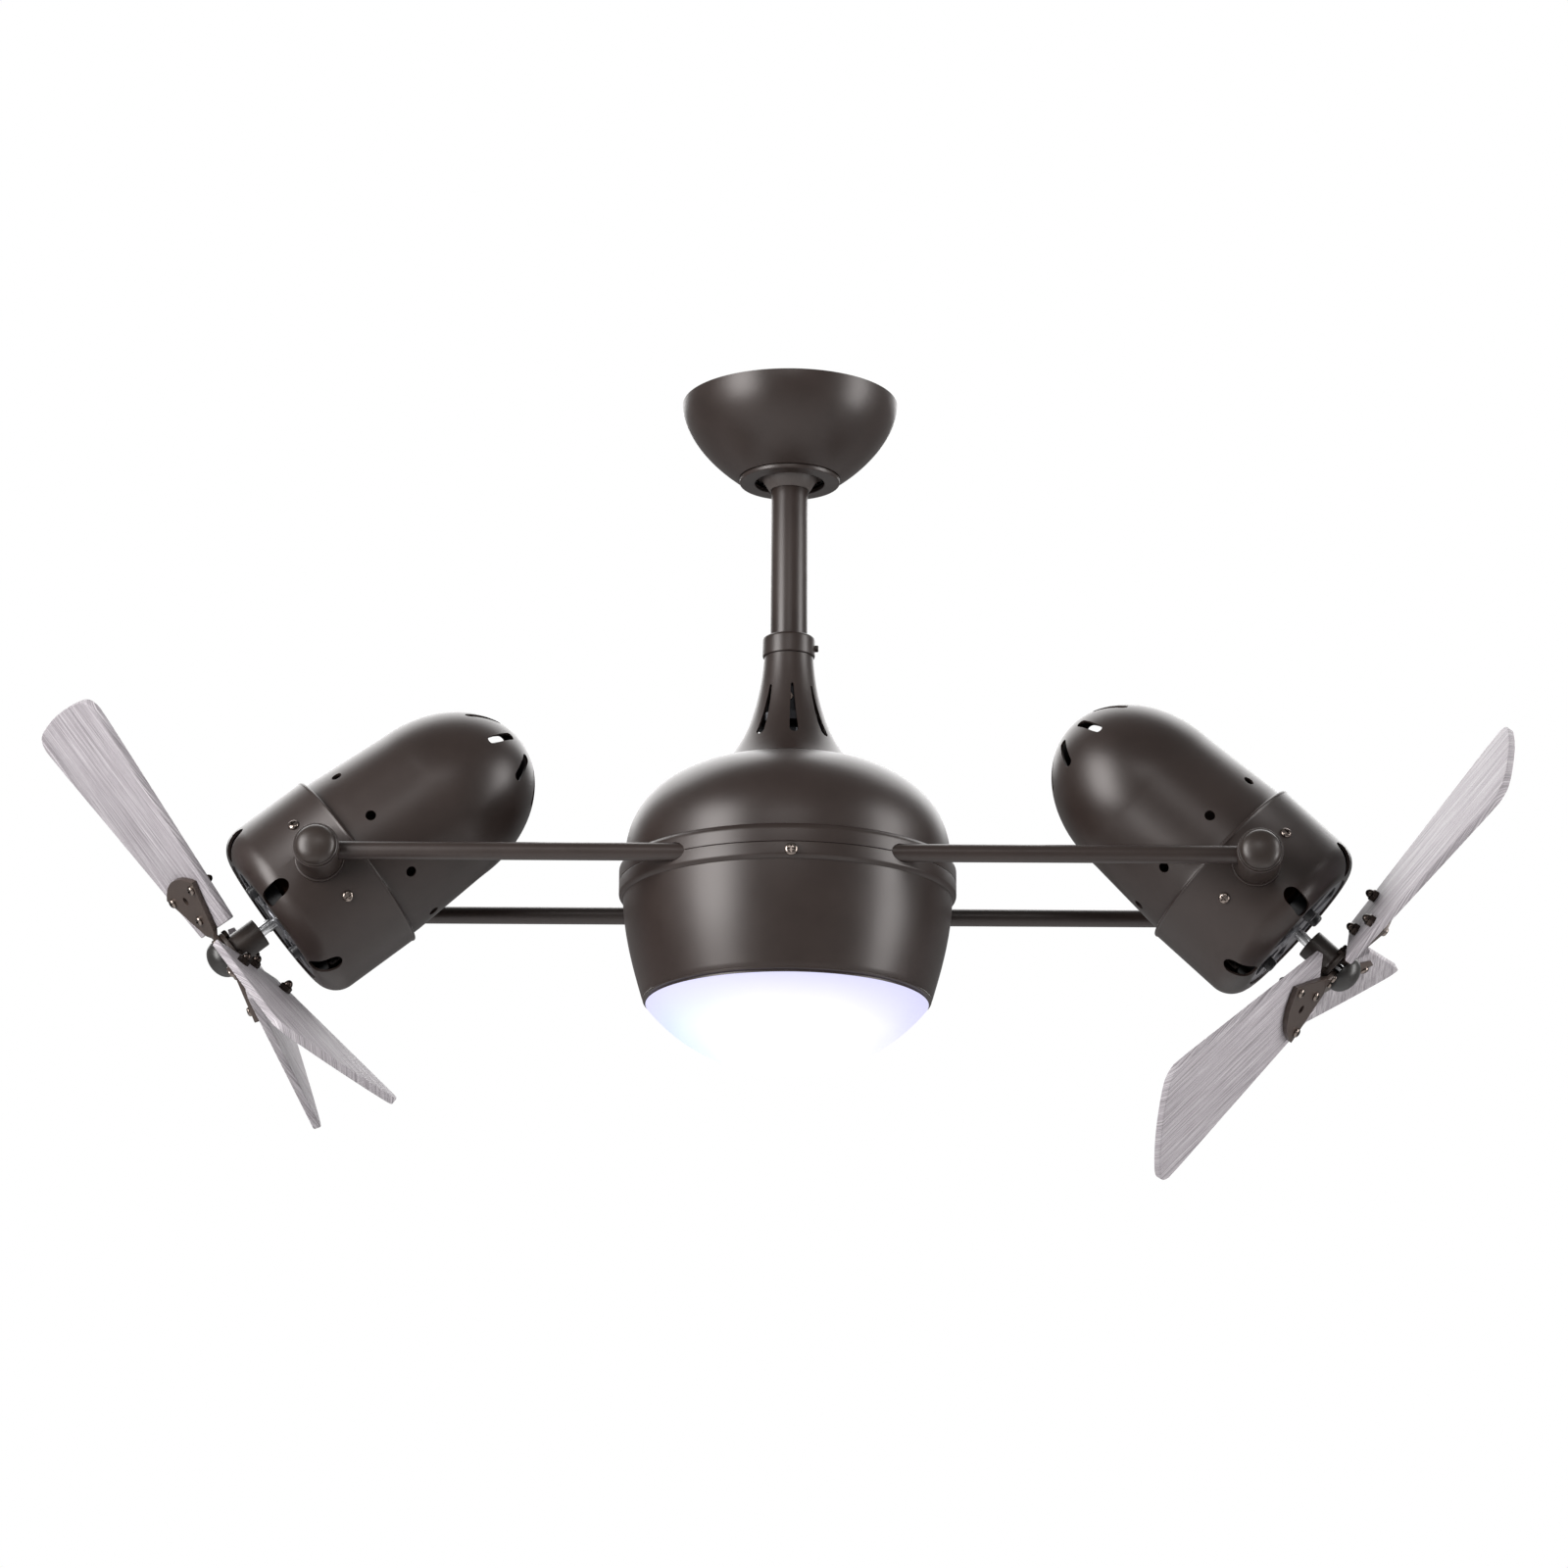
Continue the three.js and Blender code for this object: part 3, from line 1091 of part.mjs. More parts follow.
/** One end of the arms, built towards -X; the right one is the same end turned half way round. */
function armEnd(side, tilt, bladePhase, turn) {
  const group = new THREE.Group();
  group.rotation.z = turn;
  const pivot = new THREE.Group();
  pivot.position.x = -PIVOT_DISTANCE;
  const nearName = turn === 0 ? 'front' : 'rear';
  const farName = turn === 0 ? 'rear' : 'front';
  pivot.add(piece(`${side}_${nearName}_knuckle`, placedKnuckle(-1), bronze));
  pivot.add(piece(`${side}_${farName}_knuckle`, placedKnuckle(1), bronze));
  pivot.add(piece(`${side}_${nearName}_pivot_bolt`, pivotBolt(-1), darkBronze));
  pivot.add(piece(`${side}_${farName}_pivot_bolt`, pivotBolt(1), darkBronze));
  pivot.add(head(side, tilt, bladePhase, turn === 0 ? SHELL_CLOCKING : -SHELL_CLOCKING));
  group.add(pivot);
  return group;
}

const armLevel = new THREE.Group();
armLevel.position.z = -CEILING_TO_ARMS;
armLevel.add(...hangingStem(), ...carrier());
armLevel.add(armEnd('left', LEFT_TILT, LEFT_BLADE_PHASE, 0));
armLevel.add(armEnd('right', RIGHT_TILT, RIGHT_BLADE_PHASE, Math.PI));

const group = new THREE.Group();
group.add(ceilingMount(), armLevel);

export default group;
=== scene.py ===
# %% [markdown]
# # A twin head ceiling fan
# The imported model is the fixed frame: every piece below is made in its coordinates, in metres,
# with the ceiling at z = 0 and +Z up. The solids hold the sizes and the motion. This file adds
# the smooth surfaces, the small hardware and the finishes, and then the light and the camera.

# %% Load the frame
import math

import bmesh
import bpy
import numpy as np
from mathutils import Matrix, Quaternion, Vector


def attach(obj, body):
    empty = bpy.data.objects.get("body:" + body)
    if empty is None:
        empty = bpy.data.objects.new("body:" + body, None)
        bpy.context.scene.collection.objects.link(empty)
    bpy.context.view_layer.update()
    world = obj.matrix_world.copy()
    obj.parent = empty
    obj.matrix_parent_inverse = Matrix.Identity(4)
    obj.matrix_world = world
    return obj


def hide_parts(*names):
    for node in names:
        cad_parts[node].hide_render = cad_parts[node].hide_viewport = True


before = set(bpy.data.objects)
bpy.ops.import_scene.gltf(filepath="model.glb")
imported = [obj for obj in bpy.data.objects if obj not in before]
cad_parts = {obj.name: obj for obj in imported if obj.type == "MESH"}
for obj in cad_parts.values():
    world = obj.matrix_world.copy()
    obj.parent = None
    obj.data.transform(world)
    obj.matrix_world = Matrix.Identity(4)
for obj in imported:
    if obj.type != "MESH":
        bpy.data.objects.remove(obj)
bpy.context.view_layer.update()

# %% [markdown]
# ## The camera
# The fan hangs above the eye, so its near arm shows higher than its far one. The spacing of
# the two arms gives the angle: the lens looks up by 16 degrees from 3.6 metres away. A long
# lens keeps the fan's shape nearly free of perspective.

# %% Camera
EYE = (-0.003, -3.577, -1.316)
LOOK_UP = 16.0
ROLL = 0.3
FOCAL_LENGTH, SENSOR_WIDTH = 118.4, 36

camera_data = bpy.data.cameras.new("camera")
camera_data.lens = FOCAL_LENGTH
camera_data.sensor_width = SENSOR_WIDTH
camera = bpy.data.objects.new("camera", camera_data)
bpy.context.scene.collection.objects.link(camera)
camera.rotation_mode = "QUATERNION"
camera.location = EYE
aim = Quaternion((1, 0, 0), math.radians(90 + LOOK_UP))
camera.rotation_quaternion = aim @ Quaternion((0, 0, 1), math.radians(ROLL))
bpy.context.scene.camera = camera

# %% [markdown]
# ## Surfaces from arrays
# Most of the fan is turned, pressed or drawn metal, so a piece is either a profile spun round
# an axis or a flat outline given a thickness. Both are worked out as whole arrays: one array of
# points and one of the faces between them. Sizes are in millimetres until a mesh is made.

# %% Array tools
MM = 0.001
ON_AXIS = 1e-6


def net(grid, wrap_u, wrap_v):
    """Faces of a grid of points: (i, j), (i+1, j), (i+1, j+1), (i, j+1), wrapped where asked."""
    nu, nv = grid.shape[:2]
    index = np.arange(nu * nv).reshape(nu, nv)
    along = np.roll(index, -1, 0)
    quads = np.stack([index, along, np.roll(along, -1, 1), np.roll(index, -1, 1)], -1)
    quads = quads[: nu if wrap_u else nu - 1, : nv if wrap_v else nv - 1]
    return grid.reshape(-1, 3), quads.reshape(-1, 4).tolist()


def outward(points, faces):
    """Turns all faces over if the volume, the sum of a . (b x c) / 6, comes out negative."""
    volume = 0.0
    for size in {len(face) for face in faces}:
        same = np.array([face for face in faces if len(face) == size])
        a = points[same[:, 0]]
        for k in range(1, size - 1):
            volume += np.einsum("ij,ij->", a, np.cross(points[same[:, k]], points[same[:, k + 1]]))
    return points, faces if volume > 0 else [face[::-1] for face in faces]


def spun(profile, count=96):
    """Each profile point (r, z) becomes a circle: x = r cos a, y = r sin a, z.

    A profile that starts and ends on the axis is closed there. Any other is joined to a ring.
    """
    profile = np.asarray(profile, float)
    a = np.arange(count) * 2 * np.pi / count
    radius, height = profile.T
    grid = np.stack([np.outer(np.cos(a), radius), np.outer(np.sin(a), radius),
                     np.tile(height, (count, 1))], -1)
    is_ring = radius[0] > ON_AXIS or radius[-1] > ON_AXIS
    return outward(*net(grid, True, is_ring))


def slab(outline, low, high, edge=0.0, steps=3):
    """A flat outline raised from low to high, with rounded edges of radius e.

    A point of the rounding lies e (1 - cos t) in from the side and e (1 - sin t) from the face.
    """
    outline = np.asarray(outline, float)
    tangent = np.roll(outline, -1, 0) - np.roll(outline, 1, 0)
    tangent /= np.linalg.norm(tangent, axis=1, keepdims=True)
    x, y = outline.T
    sense = 1 if np.sum(x * np.roll(y, -1) - np.roll(x, -1) * y) > 0 else -1
    inwards = sense * np.stack([-tangent[:, 1], tangent[:, 0]], -1)
    t = np.linspace(0, np.pi / 2, steps + 1) if edge else np.zeros(1)
    inset, rise = edge * (1 - np.cos(t)), edge * (1 - np.sin(t))
    rings = [(d, low + z) for d, z in zip(inset[::-1], rise[::-1])]
    rings += [(d, high - z) for d, z in zip(inset, rise)]
    grid = np.stack([np.column_stack([outline + inwards * d, np.full(len(outline), z)])
                     for d, z in rings], 1)
    points, sides = net(grid, True, False)
    foot = np.arange(len(outline)) * len(rings)
    caps = [foot.tolist()[::-1], (foot + len(rings) - 1).tolist()]
    return outward(points, sides + caps)


def together(*solids):
    """Several solids as one list of points and one of faces."""
    points, faces, start = [], [], 0
    for some_points, some_faces in solids:
        points.append(some_points)
        faces += [[start + i for i in face] for face in some_faces]
        start += len(some_points)
    return np.vstack(points), faces


def moved(solid, matrix):
    """p' = M p, with M a 4 x 4 matrix in millimetres."""
    points, faces = solid
    matrix = np.asarray(matrix)
    return points @ matrix[:3, :3].T + matrix[:3, 3], faces


def shift(x=0.0, y=0.0, z=0.0):
    """The matrix that moves a solid by x, y and z millimetres."""
    matrix = np.eye(4)
    matrix[:3, 3] = x, y, z
    return matrix


def turn(axis, degrees):
    """The matrix that turns a solid about an axis through the origin."""
    return np.array(Matrix.Rotation(math.radians(degrees), 4, axis))


# %% Profile tools
def bent(start, handle_a, handle_b, end, steps=24):
    """A cubic curve: (1-t)^3 P0 + 3t(1-t)^2 P1 + 3t^2(1-t) P2 + t^3 P3."""
    t = np.linspace(0, 1, steps + 1)[:, None]
    p0, p1, p2, p3 = (np.array(p, float) for p in (start, handle_a, handle_b, end))
    return (1 - t) ** 3 * p0 + 3 * t * (1 - t) ** 2 * p1 + 3 * t**2 * (1 - t) * p2 + t**3 * p3


def bow(centre, radius_r, radius_z, from_degrees, to_degrees, steps=16):
    """Part of an ellipse: (cr + a cos t, cz + b sin t)."""
    t = np.radians(np.linspace(from_degrees, to_degrees, steps + 1))
    return np.stack([centre[0] + radius_r * np.cos(t), centre[1] + radius_z * np.sin(t)], -1)


def softened(corners, radius, steps=3):
    """A closed line whose corners P become (1-t)^2 A + 2t(1-t) P + t^2 B, a radius either side.

    The radius is one for all corners or one for each, and takes up to 0.48 of the shorter side.
    """
    p = np.asarray(corners, float)
    radius = np.broadcast_to(np.asarray(radius, float), len(p))
    to_last, to_next = np.roll(p, 1, 0) - p, np.roll(p, -1, 0) - p
    last, ahead = np.linalg.norm(to_last, axis=1), np.linalg.norm(to_next, axis=1)
    reach = np.minimum(radius, 0.48 * np.minimum(last, ahead))
    a = p + to_last * (reach / last)[:, None]
    b = p + to_next * (reach / ahead)[:, None]
    t = np.linspace(0, 1, steps + 1)[None, :, None]
    curve = (1 - t) ** 2 * a[:, None] + 2 * t * (1 - t) * p[:, None] + t**2 * b[:, None]
    points = curve.reshape(-1, 2)
    apart = np.linalg.norm(points - np.roll(points, 1, 0), axis=1) > 1e-6
    return points[apart]


def walled(line, wall):
    """A sheet's section: the line, and the same line moved by n times the wall, walked back."""
    line = np.asarray(line, float)
    step = np.gradient(line, axis=0)
    normal = np.stack([-step[:, 1], step[:, 0]], -1) / np.linalg.norm(step, axis=1, keepdims=True)
    inner = line + normal * wall
    inner[line[:, 0] < ON_AXIS, 0] = 0
    return np.vstack([line, inner[::-1]])


def obround(length, width, steps=12):
    """A slot's outline, two half circles joined by straight sides, long along X."""
    t = np.linspace(-np.pi / 2, np.pi / 2, steps)
    half = np.stack([np.cos(t), np.sin(t)], -1) * width / 2 + [(length - width) / 2, 0]
    return np.vstack([half, -half])


# %% [markdown]
# ## Making a piece
# A finished piece sits at the origin with its place in its mesh, rides on the body that moves
# it, and stands for the solids that it replaces. Holes are cut with a Boolean while the mesh is
# still fine, and edges sharper than an angle stay sharp in an otherwise smooth skin.

# %% Piece maker
WELD = 2e-7


def mesh_object(name, solid):
    """An object from a solid's arrays, its double points merged, in metres."""
    points, faces = solid
    mesh = bpy.data.meshes.new(name)
    mesh.from_pydata((points * MM).tolist(), [], faces)
    edit = bmesh.new()
    edit.from_mesh(mesh)
    bmesh.ops.remove_doubles(edit, verts=edit.verts, dist=WELD)
    edit.to_mesh(mesh)
    edit.free()
    made = bpy.data.objects.new(name, mesh)
    bpy.context.scene.collection.objects.link(made)
    return made


def carve(made, solid, operation):
    """Joins a solid to an object, cuts it away or keeps what both share, and bakes the result."""
    tool = mesh_object("tool", solid)
    step = made.modifiers.new("cut", "BOOLEAN")
    step.operation = operation
    step.solver = "EXACT"
    step.object = tool
    bpy.context.view_layer.update()
    graph = bpy.context.evaluated_depsgraph_get()
    carved = bpy.data.meshes.new_from_object(made.evaluated_get(graph))
    made.modifiers.clear()
    made.data = carved
    bpy.data.objects.remove(tool)


def add(name, solid, body, slot, material, nodes=(), plus=None, minus=None, sharp=35.0, uv=None):
    """Makes one finished piece that rides on a body and stands for the solids in nodes.

    Plus is joined to it and minus is cut from it. Edges bent by more than sharp degrees stay
    sharp, and uv is a function from points to (u, v).
    """
    made = mesh_object(name, solid)
    if plus is not None:
        carve(made, plus, "UNION")
    if minus is not None:
        carve(made, minus, "DIFFERENCE")
    mesh = made.data
    mesh.name = name
    mesh.materials.clear()
    mesh.materials.append(material)
    mesh.shade_smooth()
    mesh.set_sharp_from_angle(angle=math.radians(sharp))
    if uv is not None:
        layer = mesh.uv_layers.new(name="own_map")
        corners = np.zeros(len(mesh.loops), np.int32)
        mesh.loops.foreach_get("vertex_index", corners)
        places = np.zeros(len(mesh.vertices) * 3)
        mesh.vertices.foreach_get("co", places)
        layer.data.foreach_set("uv", uv(places.reshape(-1, 3) / MM)[corners].astype("f4").ravel())
    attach(made, body)
    if nodes:
        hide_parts(*nodes)
    return made


# %% [markdown]
# ## Finishes
# Paint, metal and wood are never one flat colour. Each effect that several materials share is
# a node group that puts out masks and heights only: a fine orange peel for sprayed paint, a fine
# grain for bare metal, and long fibres for the wood. The shader stays in the material.

# %% Node group tools
def group(name, inputs, outputs):
    """A new node group with its sockets, and its input and output nodes."""
    tree = bpy.data.node_groups.new(name, "ShaderNodeTree")
    for socket, kind, value in inputs:
        made = tree.interface.new_socket(socket, in_out="INPUT", socket_type=kind)
        if value is not None:
            made.default_value = value
    for socket, kind in outputs:
        tree.interface.new_socket(socket, in_out="OUTPUT", socket_type=kind)
    return tree, tree.nodes.new("NodeGroupInput"), tree.nodes.new("NodeGroupOutput")


def feed(tree, socket, value):
    """Sets a socket to a value, or links it where the value is another node's output."""
    if isinstance(value, bpy.types.NodeSocket):
        tree.links.new(value, socket)
    else:
        socket.default_value = value


def noise(tree, vector, scale, detail, roughness=0.5):
    """Noise over a vector, as many turns to the metre as its scale."""
    node = tree.nodes.new("ShaderNodeTexNoise")
    feed(tree, node.inputs["Scale"], scale)
    node.inputs["Detail"].default_value = detail
    node.inputs["Roughness"].default_value = roughness
    tree.links.new(vector, node.inputs["Vector"])
    return node.outputs["Fac"]


def times(tree, value, number):
    """A node's output times a number."""
    node = tree.nodes.new("ShaderNodeMath")
    node.operation = "MULTIPLY"
    feed(tree, node.inputs[0], value)
    feed(tree, node.inputs[1], number)
    return node.outputs[0]


def spread(tree, value, low, high, to_low=0.0, to_high=1.0):
    """Maps low to to_low and high to to_high, with straight steps between."""
    node = tree.nodes.new("ShaderNodeMapRange")
    node.inputs["From Min"].default_value = low
    node.inputs["From Max"].default_value = high
    node.inputs["To Min"].default_value = to_low
    node.inputs["To Max"].default_value = to_high
    tree.links.new(value, node.inputs["Value"])
    return node.outputs["Result"]


# %% Sprayed skin: orange peel height and a slow mottle
skin, skin_in, skin_out = group(
    "sprayed_skin",
    [("Vector", "NodeSocketVector", None), ("Peel Scale", "NodeSocketFloat", 900.0)],
    [("Peel", "NodeSocketFloat"), ("Mottle", "NodeSocketFloat")])
peel = noise(skin, skin_in.outputs["Vector"], skin_in.outputs["Peel Scale"], 3)
skin.links.new(peel, skin_out.inputs["Peel"])
slow = noise(skin, skin_in.outputs["Vector"], 14, 4, 0.6)
skin.links.new(spread(skin, slow, 0.3, 0.7), skin_out.inputs["Mottle"])

# %% Metal grain: the fine marks of a tool or a mould, and a slow mottle
grain, grain_in, grain_out = group(
    "metal_grain", [("Vector", "NodeSocketVector", None)],
    [("Marks", "NodeSocketFloat"), ("Mottle", "NodeSocketFloat")])
grain.links.new(noise(grain, grain_in.outputs["Vector"], 600, 4, 0.65), grain_out.inputs["Marks"])
grain.links.new(noise(grain, grain_in.outputs["Vector"], 40, 3), grain_out.inputs["Mottle"])

# %% Wood fibres: three widths of streak along U, on the blade's own map
fibre, fibre_in, fibre_out = group(
    "wood_fibres", [("Vector", "NodeSocketVector", None)],
    [("Fibre", "NodeSocketFloat"), ("Band", "NodeSocketFloat"), ("Pore", "NodeSocketFloat")])


STREAK_STRETCH = 0.010


def streaks(across, detail, rough):
    """Noise with so many turns to the metre across the grain, and a hundredth of that along it."""
    scaled = fibre.nodes.new("ShaderNodeVectorMath")
    scaled.operation = "MULTIPLY"
    scaled.inputs[1].default_value = (across * STREAK_STRETCH, across, across)
    fibre.links.new(fibre_in.outputs["Vector"], scaled.inputs[0])
    return noise(fibre, scaled.outputs[0], 1.0, detail, rough)


fibre.links.new(spread(fibre, streaks(1300, 5, 0.75), 0.38, 0.62), fibre_out.inputs["Fibre"])
fibre.links.new(spread(fibre, streaks(230, 4, 0.6), 0.34, 0.66), fibre_out.inputs["Band"])
fibre.links.new(spread(fibre, streaks(2200, 2, 0.5), 0.54, 0.68), fibre_out.inputs["Pore"])
print("node groups:", [tree.name for tree in bpy.data.node_groups])


# %% Material maker
PEEL_DEPTH = 0.00002


def material(name):
    """A new material, its node tree and its Principled shader."""
    made = bpy.data.materials.new(name)
    made.use_nodes = True
    return made, made.node_tree, made.node_tree.nodes["Principled BSDF"]


def mixed(tree, factor, first, second, blend="MIX"):
    """Mixes two colours, each a triple or another node's output, by a factor."""
    node = tree.nodes.new("ShaderNodeMix")
    node.data_type = "RGBA"
    node.blend_type = blend
    feed(tree, node.inputs["Factor"], factor)
    for socket, colour in (("A", first), ("B", second)):
        feed(tree, node.inputs[socket], (*colour, 1) if isinstance(colour, tuple) else colour)
    return node.outputs["Result"]


def relief(tree, shader, height, distance):
    """Bends the shader's normal as a height of so many metres would."""
    bump = tree.nodes.new("ShaderNodeBump")
    bump.inputs["Distance"].default_value = distance
    bump.inputs["Strength"].default_value = 1.0
    tree.links.new(height, bump.inputs["Height"])
    tree.links.new(bump.outputs["Normal"], shader.inputs["Normal"])


def effect_on(tree, kind):
    """A node group placed in a material's tree, reading the place on the object."""
    place = tree.nodes.new("ShaderNodeTexCoord")
    effect = tree.nodes.new("ShaderNodeGroup")
    effect.node_tree = kind
    tree.links.new(place.outputs["Object"], effect.inputs["Vector"])
    return effect.outputs


def painted(name, dark, light, roughness, metallic=0.0):
    """Sprayed paint: the mottle moves its colour and gloss a little, and the peel its normal."""
    made, tree, shader = material(name)
    effect = effect_on(tree, skin)
    tree.links.new(mixed(tree, effect["Mottle"], dark, light), shader.inputs["Base Color"])
    gloss = spread(tree, effect["Mottle"], 0, 1, roughness - 0.03, roughness + 0.03)
    tree.links.new(gloss, shader.inputs["Roughness"])
    relief(tree, shader, effect["Peel"], PEEL_DEPTH)
    shader.inputs["Metallic"].default_value = metallic
    return made


def metal(name, dark, light, roughness, mark_depth=0.000004):
    """Bare metal: the mottle varies its colour, and the marks its gloss and its normal."""
    made, tree, shader = material(name)
    effect = effect_on(tree, grain)
    tree.links.new(mixed(tree, effect["Mottle"], dark, light), shader.inputs["Base Color"])
    gloss = spread(tree, effect["Marks"], 0.3, 0.7, roughness - 0.06, roughness + 0.08)
    tree.links.new(gloss, shader.inputs["Roughness"])
    relief(tree, shader, effect["Marks"], mark_depth)
    shader.inputs["Metallic"].default_value = 1.0
    return made


# %% The fan's finishes
BRONZE = painted("bronze_paint", (0.0215, 0.0140, 0.0117), (0.0300, 0.0200, 0.0170), 0.38, 0.2)
DARK_BRONZE = painted("dark_bronze", (0.0200, 0.0135, 0.0110), (0.0300, 0.0210, 0.0170), 0.38,
                      0.2)
# Painted light: a lighter copy of the dark bronze for the blade irons, which catch more light than
# the hub.
LIT_IRON_BRONZE = painted("iron_bronze_lit", (0.0460, 0.0320, 0.0270), (0.0640, 0.0460, 0.0380), 0.36, 0.3)
BALL_PAINT = painted("ball_moulding", (0.050, 0.040, 0.036), (0.070, 0.057, 0.052), 0.42)
SPINNER_GREY = painted("spinner_grey", (0.0160, 0.0145, 0.0135), (0.0240, 0.0220, 0.0205), 0.36,
                       0.2)
WHITE_PAINT = painted("white_paint", (0.78, 0.78, 0.78), (0.84, 0.84, 0.84), 0.5)
BOARD = painted("circuit_board", (0.74, 0.76, 0.75), (0.82, 0.83, 0.82), 0.45)
MOULDING = painted("dark_moulding", (0.010, 0.010, 0.011), (0.018, 0.018, 0.020), 0.4)
STEEL = metal("steel", (0.46, 0.46, 0.47), (0.62, 0.62, 0.63), 0.20, mark_depth=0.0000008)
SCREW_STEEL = metal("screw_steel", (0.13, 0.105, 0.092), (0.28, 0.235, 0.21), 0.20)
# Blackened steel for the nuts. On the yoke pin inside the neck the same near black is painted
# shade.
BLACKENED_AND_SHADE = metal("blackened_steel", (0.030, 0.023, 0.020), (0.070, 0.055, 0.048), 0.26)
# Painted shade: the zinc is kept nearly black, for the shade inside the neck where the bracket and
# the yoke show through the slots.
SHADE_DARK_ZINC = metal("zinc_plate", (0.035, 0.035, 0.038), (0.065, 0.065, 0.070), 0.5)
ALUMINIUM = metal("cast_aluminium", (0.42, 0.42, 0.43), (0.60, 0.60, 0.61), 0.38)
BRASS = metal("slip_ring_brass", (0.50, 0.33, 0.12), (0.62, 0.43, 0.18), 0.3)
# Painted shade: the copper of the windings and the stators is kept nearly black, for the shade
# deep in the heads.
SHADE_DARK_COPPER = metal("laminations", (0.026, 0.014, 0.010), (0.075, 0.036, 0.022), 0.5)

# %% [markdown]
# ### The motor's end plate
# The plate's face is machined metal, a darker copy of the cast aluminium, and its rim is near
# black: both are painted shade for the dark inside of the head that shows through the cover's
# slots. Its map holds the radius in U, so one threshold on U parts the two.

# %% End plate finish
PLATE, plate_tree, plate_shader = material("end_plate")
plate_map = plate_tree.nodes.new("ShaderNodeUVMap")
plate_map.uv_map = "own_map"
plate_axes = plate_tree.nodes.new("ShaderNodeSeparateXYZ")
plate_tree.links.new(plate_map.outputs["UV"], plate_axes.inputs[0])
# Painted shade: beyond 49 mm from the axis the plate is near black, and its face is a darkened
# aluminium.
face_mask = spread(plate_tree, plate_axes.outputs["X"], 0.0490, 0.0494, 1.0, 0.0)
plate_grain = effect_on(plate_tree, grain)
cast = mixed(plate_tree, plate_grain["Mottle"], (0.13, 0.13, 0.14), (0.30, 0.30, 0.32))
plate_tree.links.new(mixed(plate_tree, face_mask, (0.008, 0.008, 0.009), cast),
                     plate_shader.inputs["Base Color"])
plate_tree.links.new(face_mask, plate_shader.inputs["Metallic"])
relief(plate_tree, plate_shader, plate_grain["Marks"], 0.000005)
plate_shader.inputs["Roughness"].default_value = 0.38

# %% [markdown]
# ### Washed wood
# The blades are thin ply under a pale grey wash. The fibres run from root to tip, so the
# pattern reads the blade's own map, whose U is the distance along the blade, and not the
# object's coordinates, in which every blade lies another way.

# %% Washed wood
WOOD, wood_tree, wood_shader = material("washed_wood")
wood_map = wood_tree.nodes.new("ShaderNodeUVMap")
wood_map.uv_map = "own_map"
fibres = wood_tree.nodes.new("ShaderNodeGroup")
fibres.node_tree = fibre
wood_tree.links.new(wood_map.outputs["UV"], fibres.inputs["Vector"])
washed = mixed(wood_tree, fibres.outputs["Fibre"], (0.145, 0.129, 0.140), (0.540, 0.508, 0.528))
band = mixed(wood_tree, fibres.outputs["Band"], (0.74, 0.73, 0.74), (1.06, 1.06, 1.06))
banded = mixed(wood_tree, 1.0, washed, band, "MULTIPLY")
pored = mixed(wood_tree, times(wood_tree, fibres.outputs["Pore"], 0.7), banded,
              (0.200, 0.165, 0.180))
wood_tree.links.new(pored, wood_shader.inputs["Base Color"])
wood_shader.inputs["Roughness"].default_value = 0.62
relief(wood_tree, wood_shader, fibres.outputs["Fibre"], 0.00003)

# %% [markdown]
# ### Opal glass
# The bowl is lit from inside. Its white is brightest low down, under the lamps, and turns a
# little dimmer and bluer towards the rim and on either side, which is painted shade in the glow,
# so the glow mixes colours by the place on the bowl.

# %% Opal glass
OPAL, opal_tree, opal_shader = material("opal_glass")
opal_place = opal_tree.nodes.new("ShaderNodeTexCoord")
opal_axes = opal_tree.nodes.new("ShaderNodeSeparateXYZ")
opal_tree.links.new(opal_place.outputs["Object"], opal_axes.inputs[0])
level = opal_tree.nodes.new("ShaderNodeCombineXYZ")
opal_tree.links.new(opal_axes.outputs["X"], level.inputs["X"])
opal_tree.links.new(opal_axes.outputs["Y"], level.inputs["Y"])
off_axis = opal_tree.nodes.new("ShaderNodeVectorMath")
off_axis.operation = "LENGTH"
opal_tree.links.new(level.outputs[0], off_axis.inputs[0])
# Painted shade: the glow and the glass turn dimmer and bluer towards the rim, on the left and on
# the right.
rim = spread(opal_tree, off_axis.outputs["Value"], 0.076, 0.1005)
left_shade_mask = spread(opal_tree, opal_axes.outputs["X"], -0.020, -0.085)
right_shade_mask = spread(opal_tree, opal_axes.outputs["X"], 0.030, 0.085)
glow = mixed(opal_tree, right_shade_mask, (1.0, 1.0, 1.0), (0.74, 0.75, 0.92))
glow = mixed(opal_tree, left_shade_mask, glow, (0.60, 0.74, 0.87))
glow = mixed(opal_tree, rim, glow, (0.66, 0.65, 0.90))
opal_tree.links.new(glow, opal_shader.inputs["Emission Color"])
opal_shader.inputs["Emission Strength"].default_value = 0.92
opal_tree.links.new(mixed(opal_tree, rim, (0.20, 0.20, 0.20), (0.12, 0.12, 0.16)),
                    opal_shader.inputs["Base Color"])
opal_shader.inputs["Roughness"].default_value = 0.3
print("materials:", len(bpy.data.materials))

# %% [markdown]
# ## The canopy and its ring
# The canopy is a spun steel cup that hides the bracket, and a ring closes it round the ball.
# Its profile is one cubic curve from the ceiling to the rim, given the sheet's thickness.

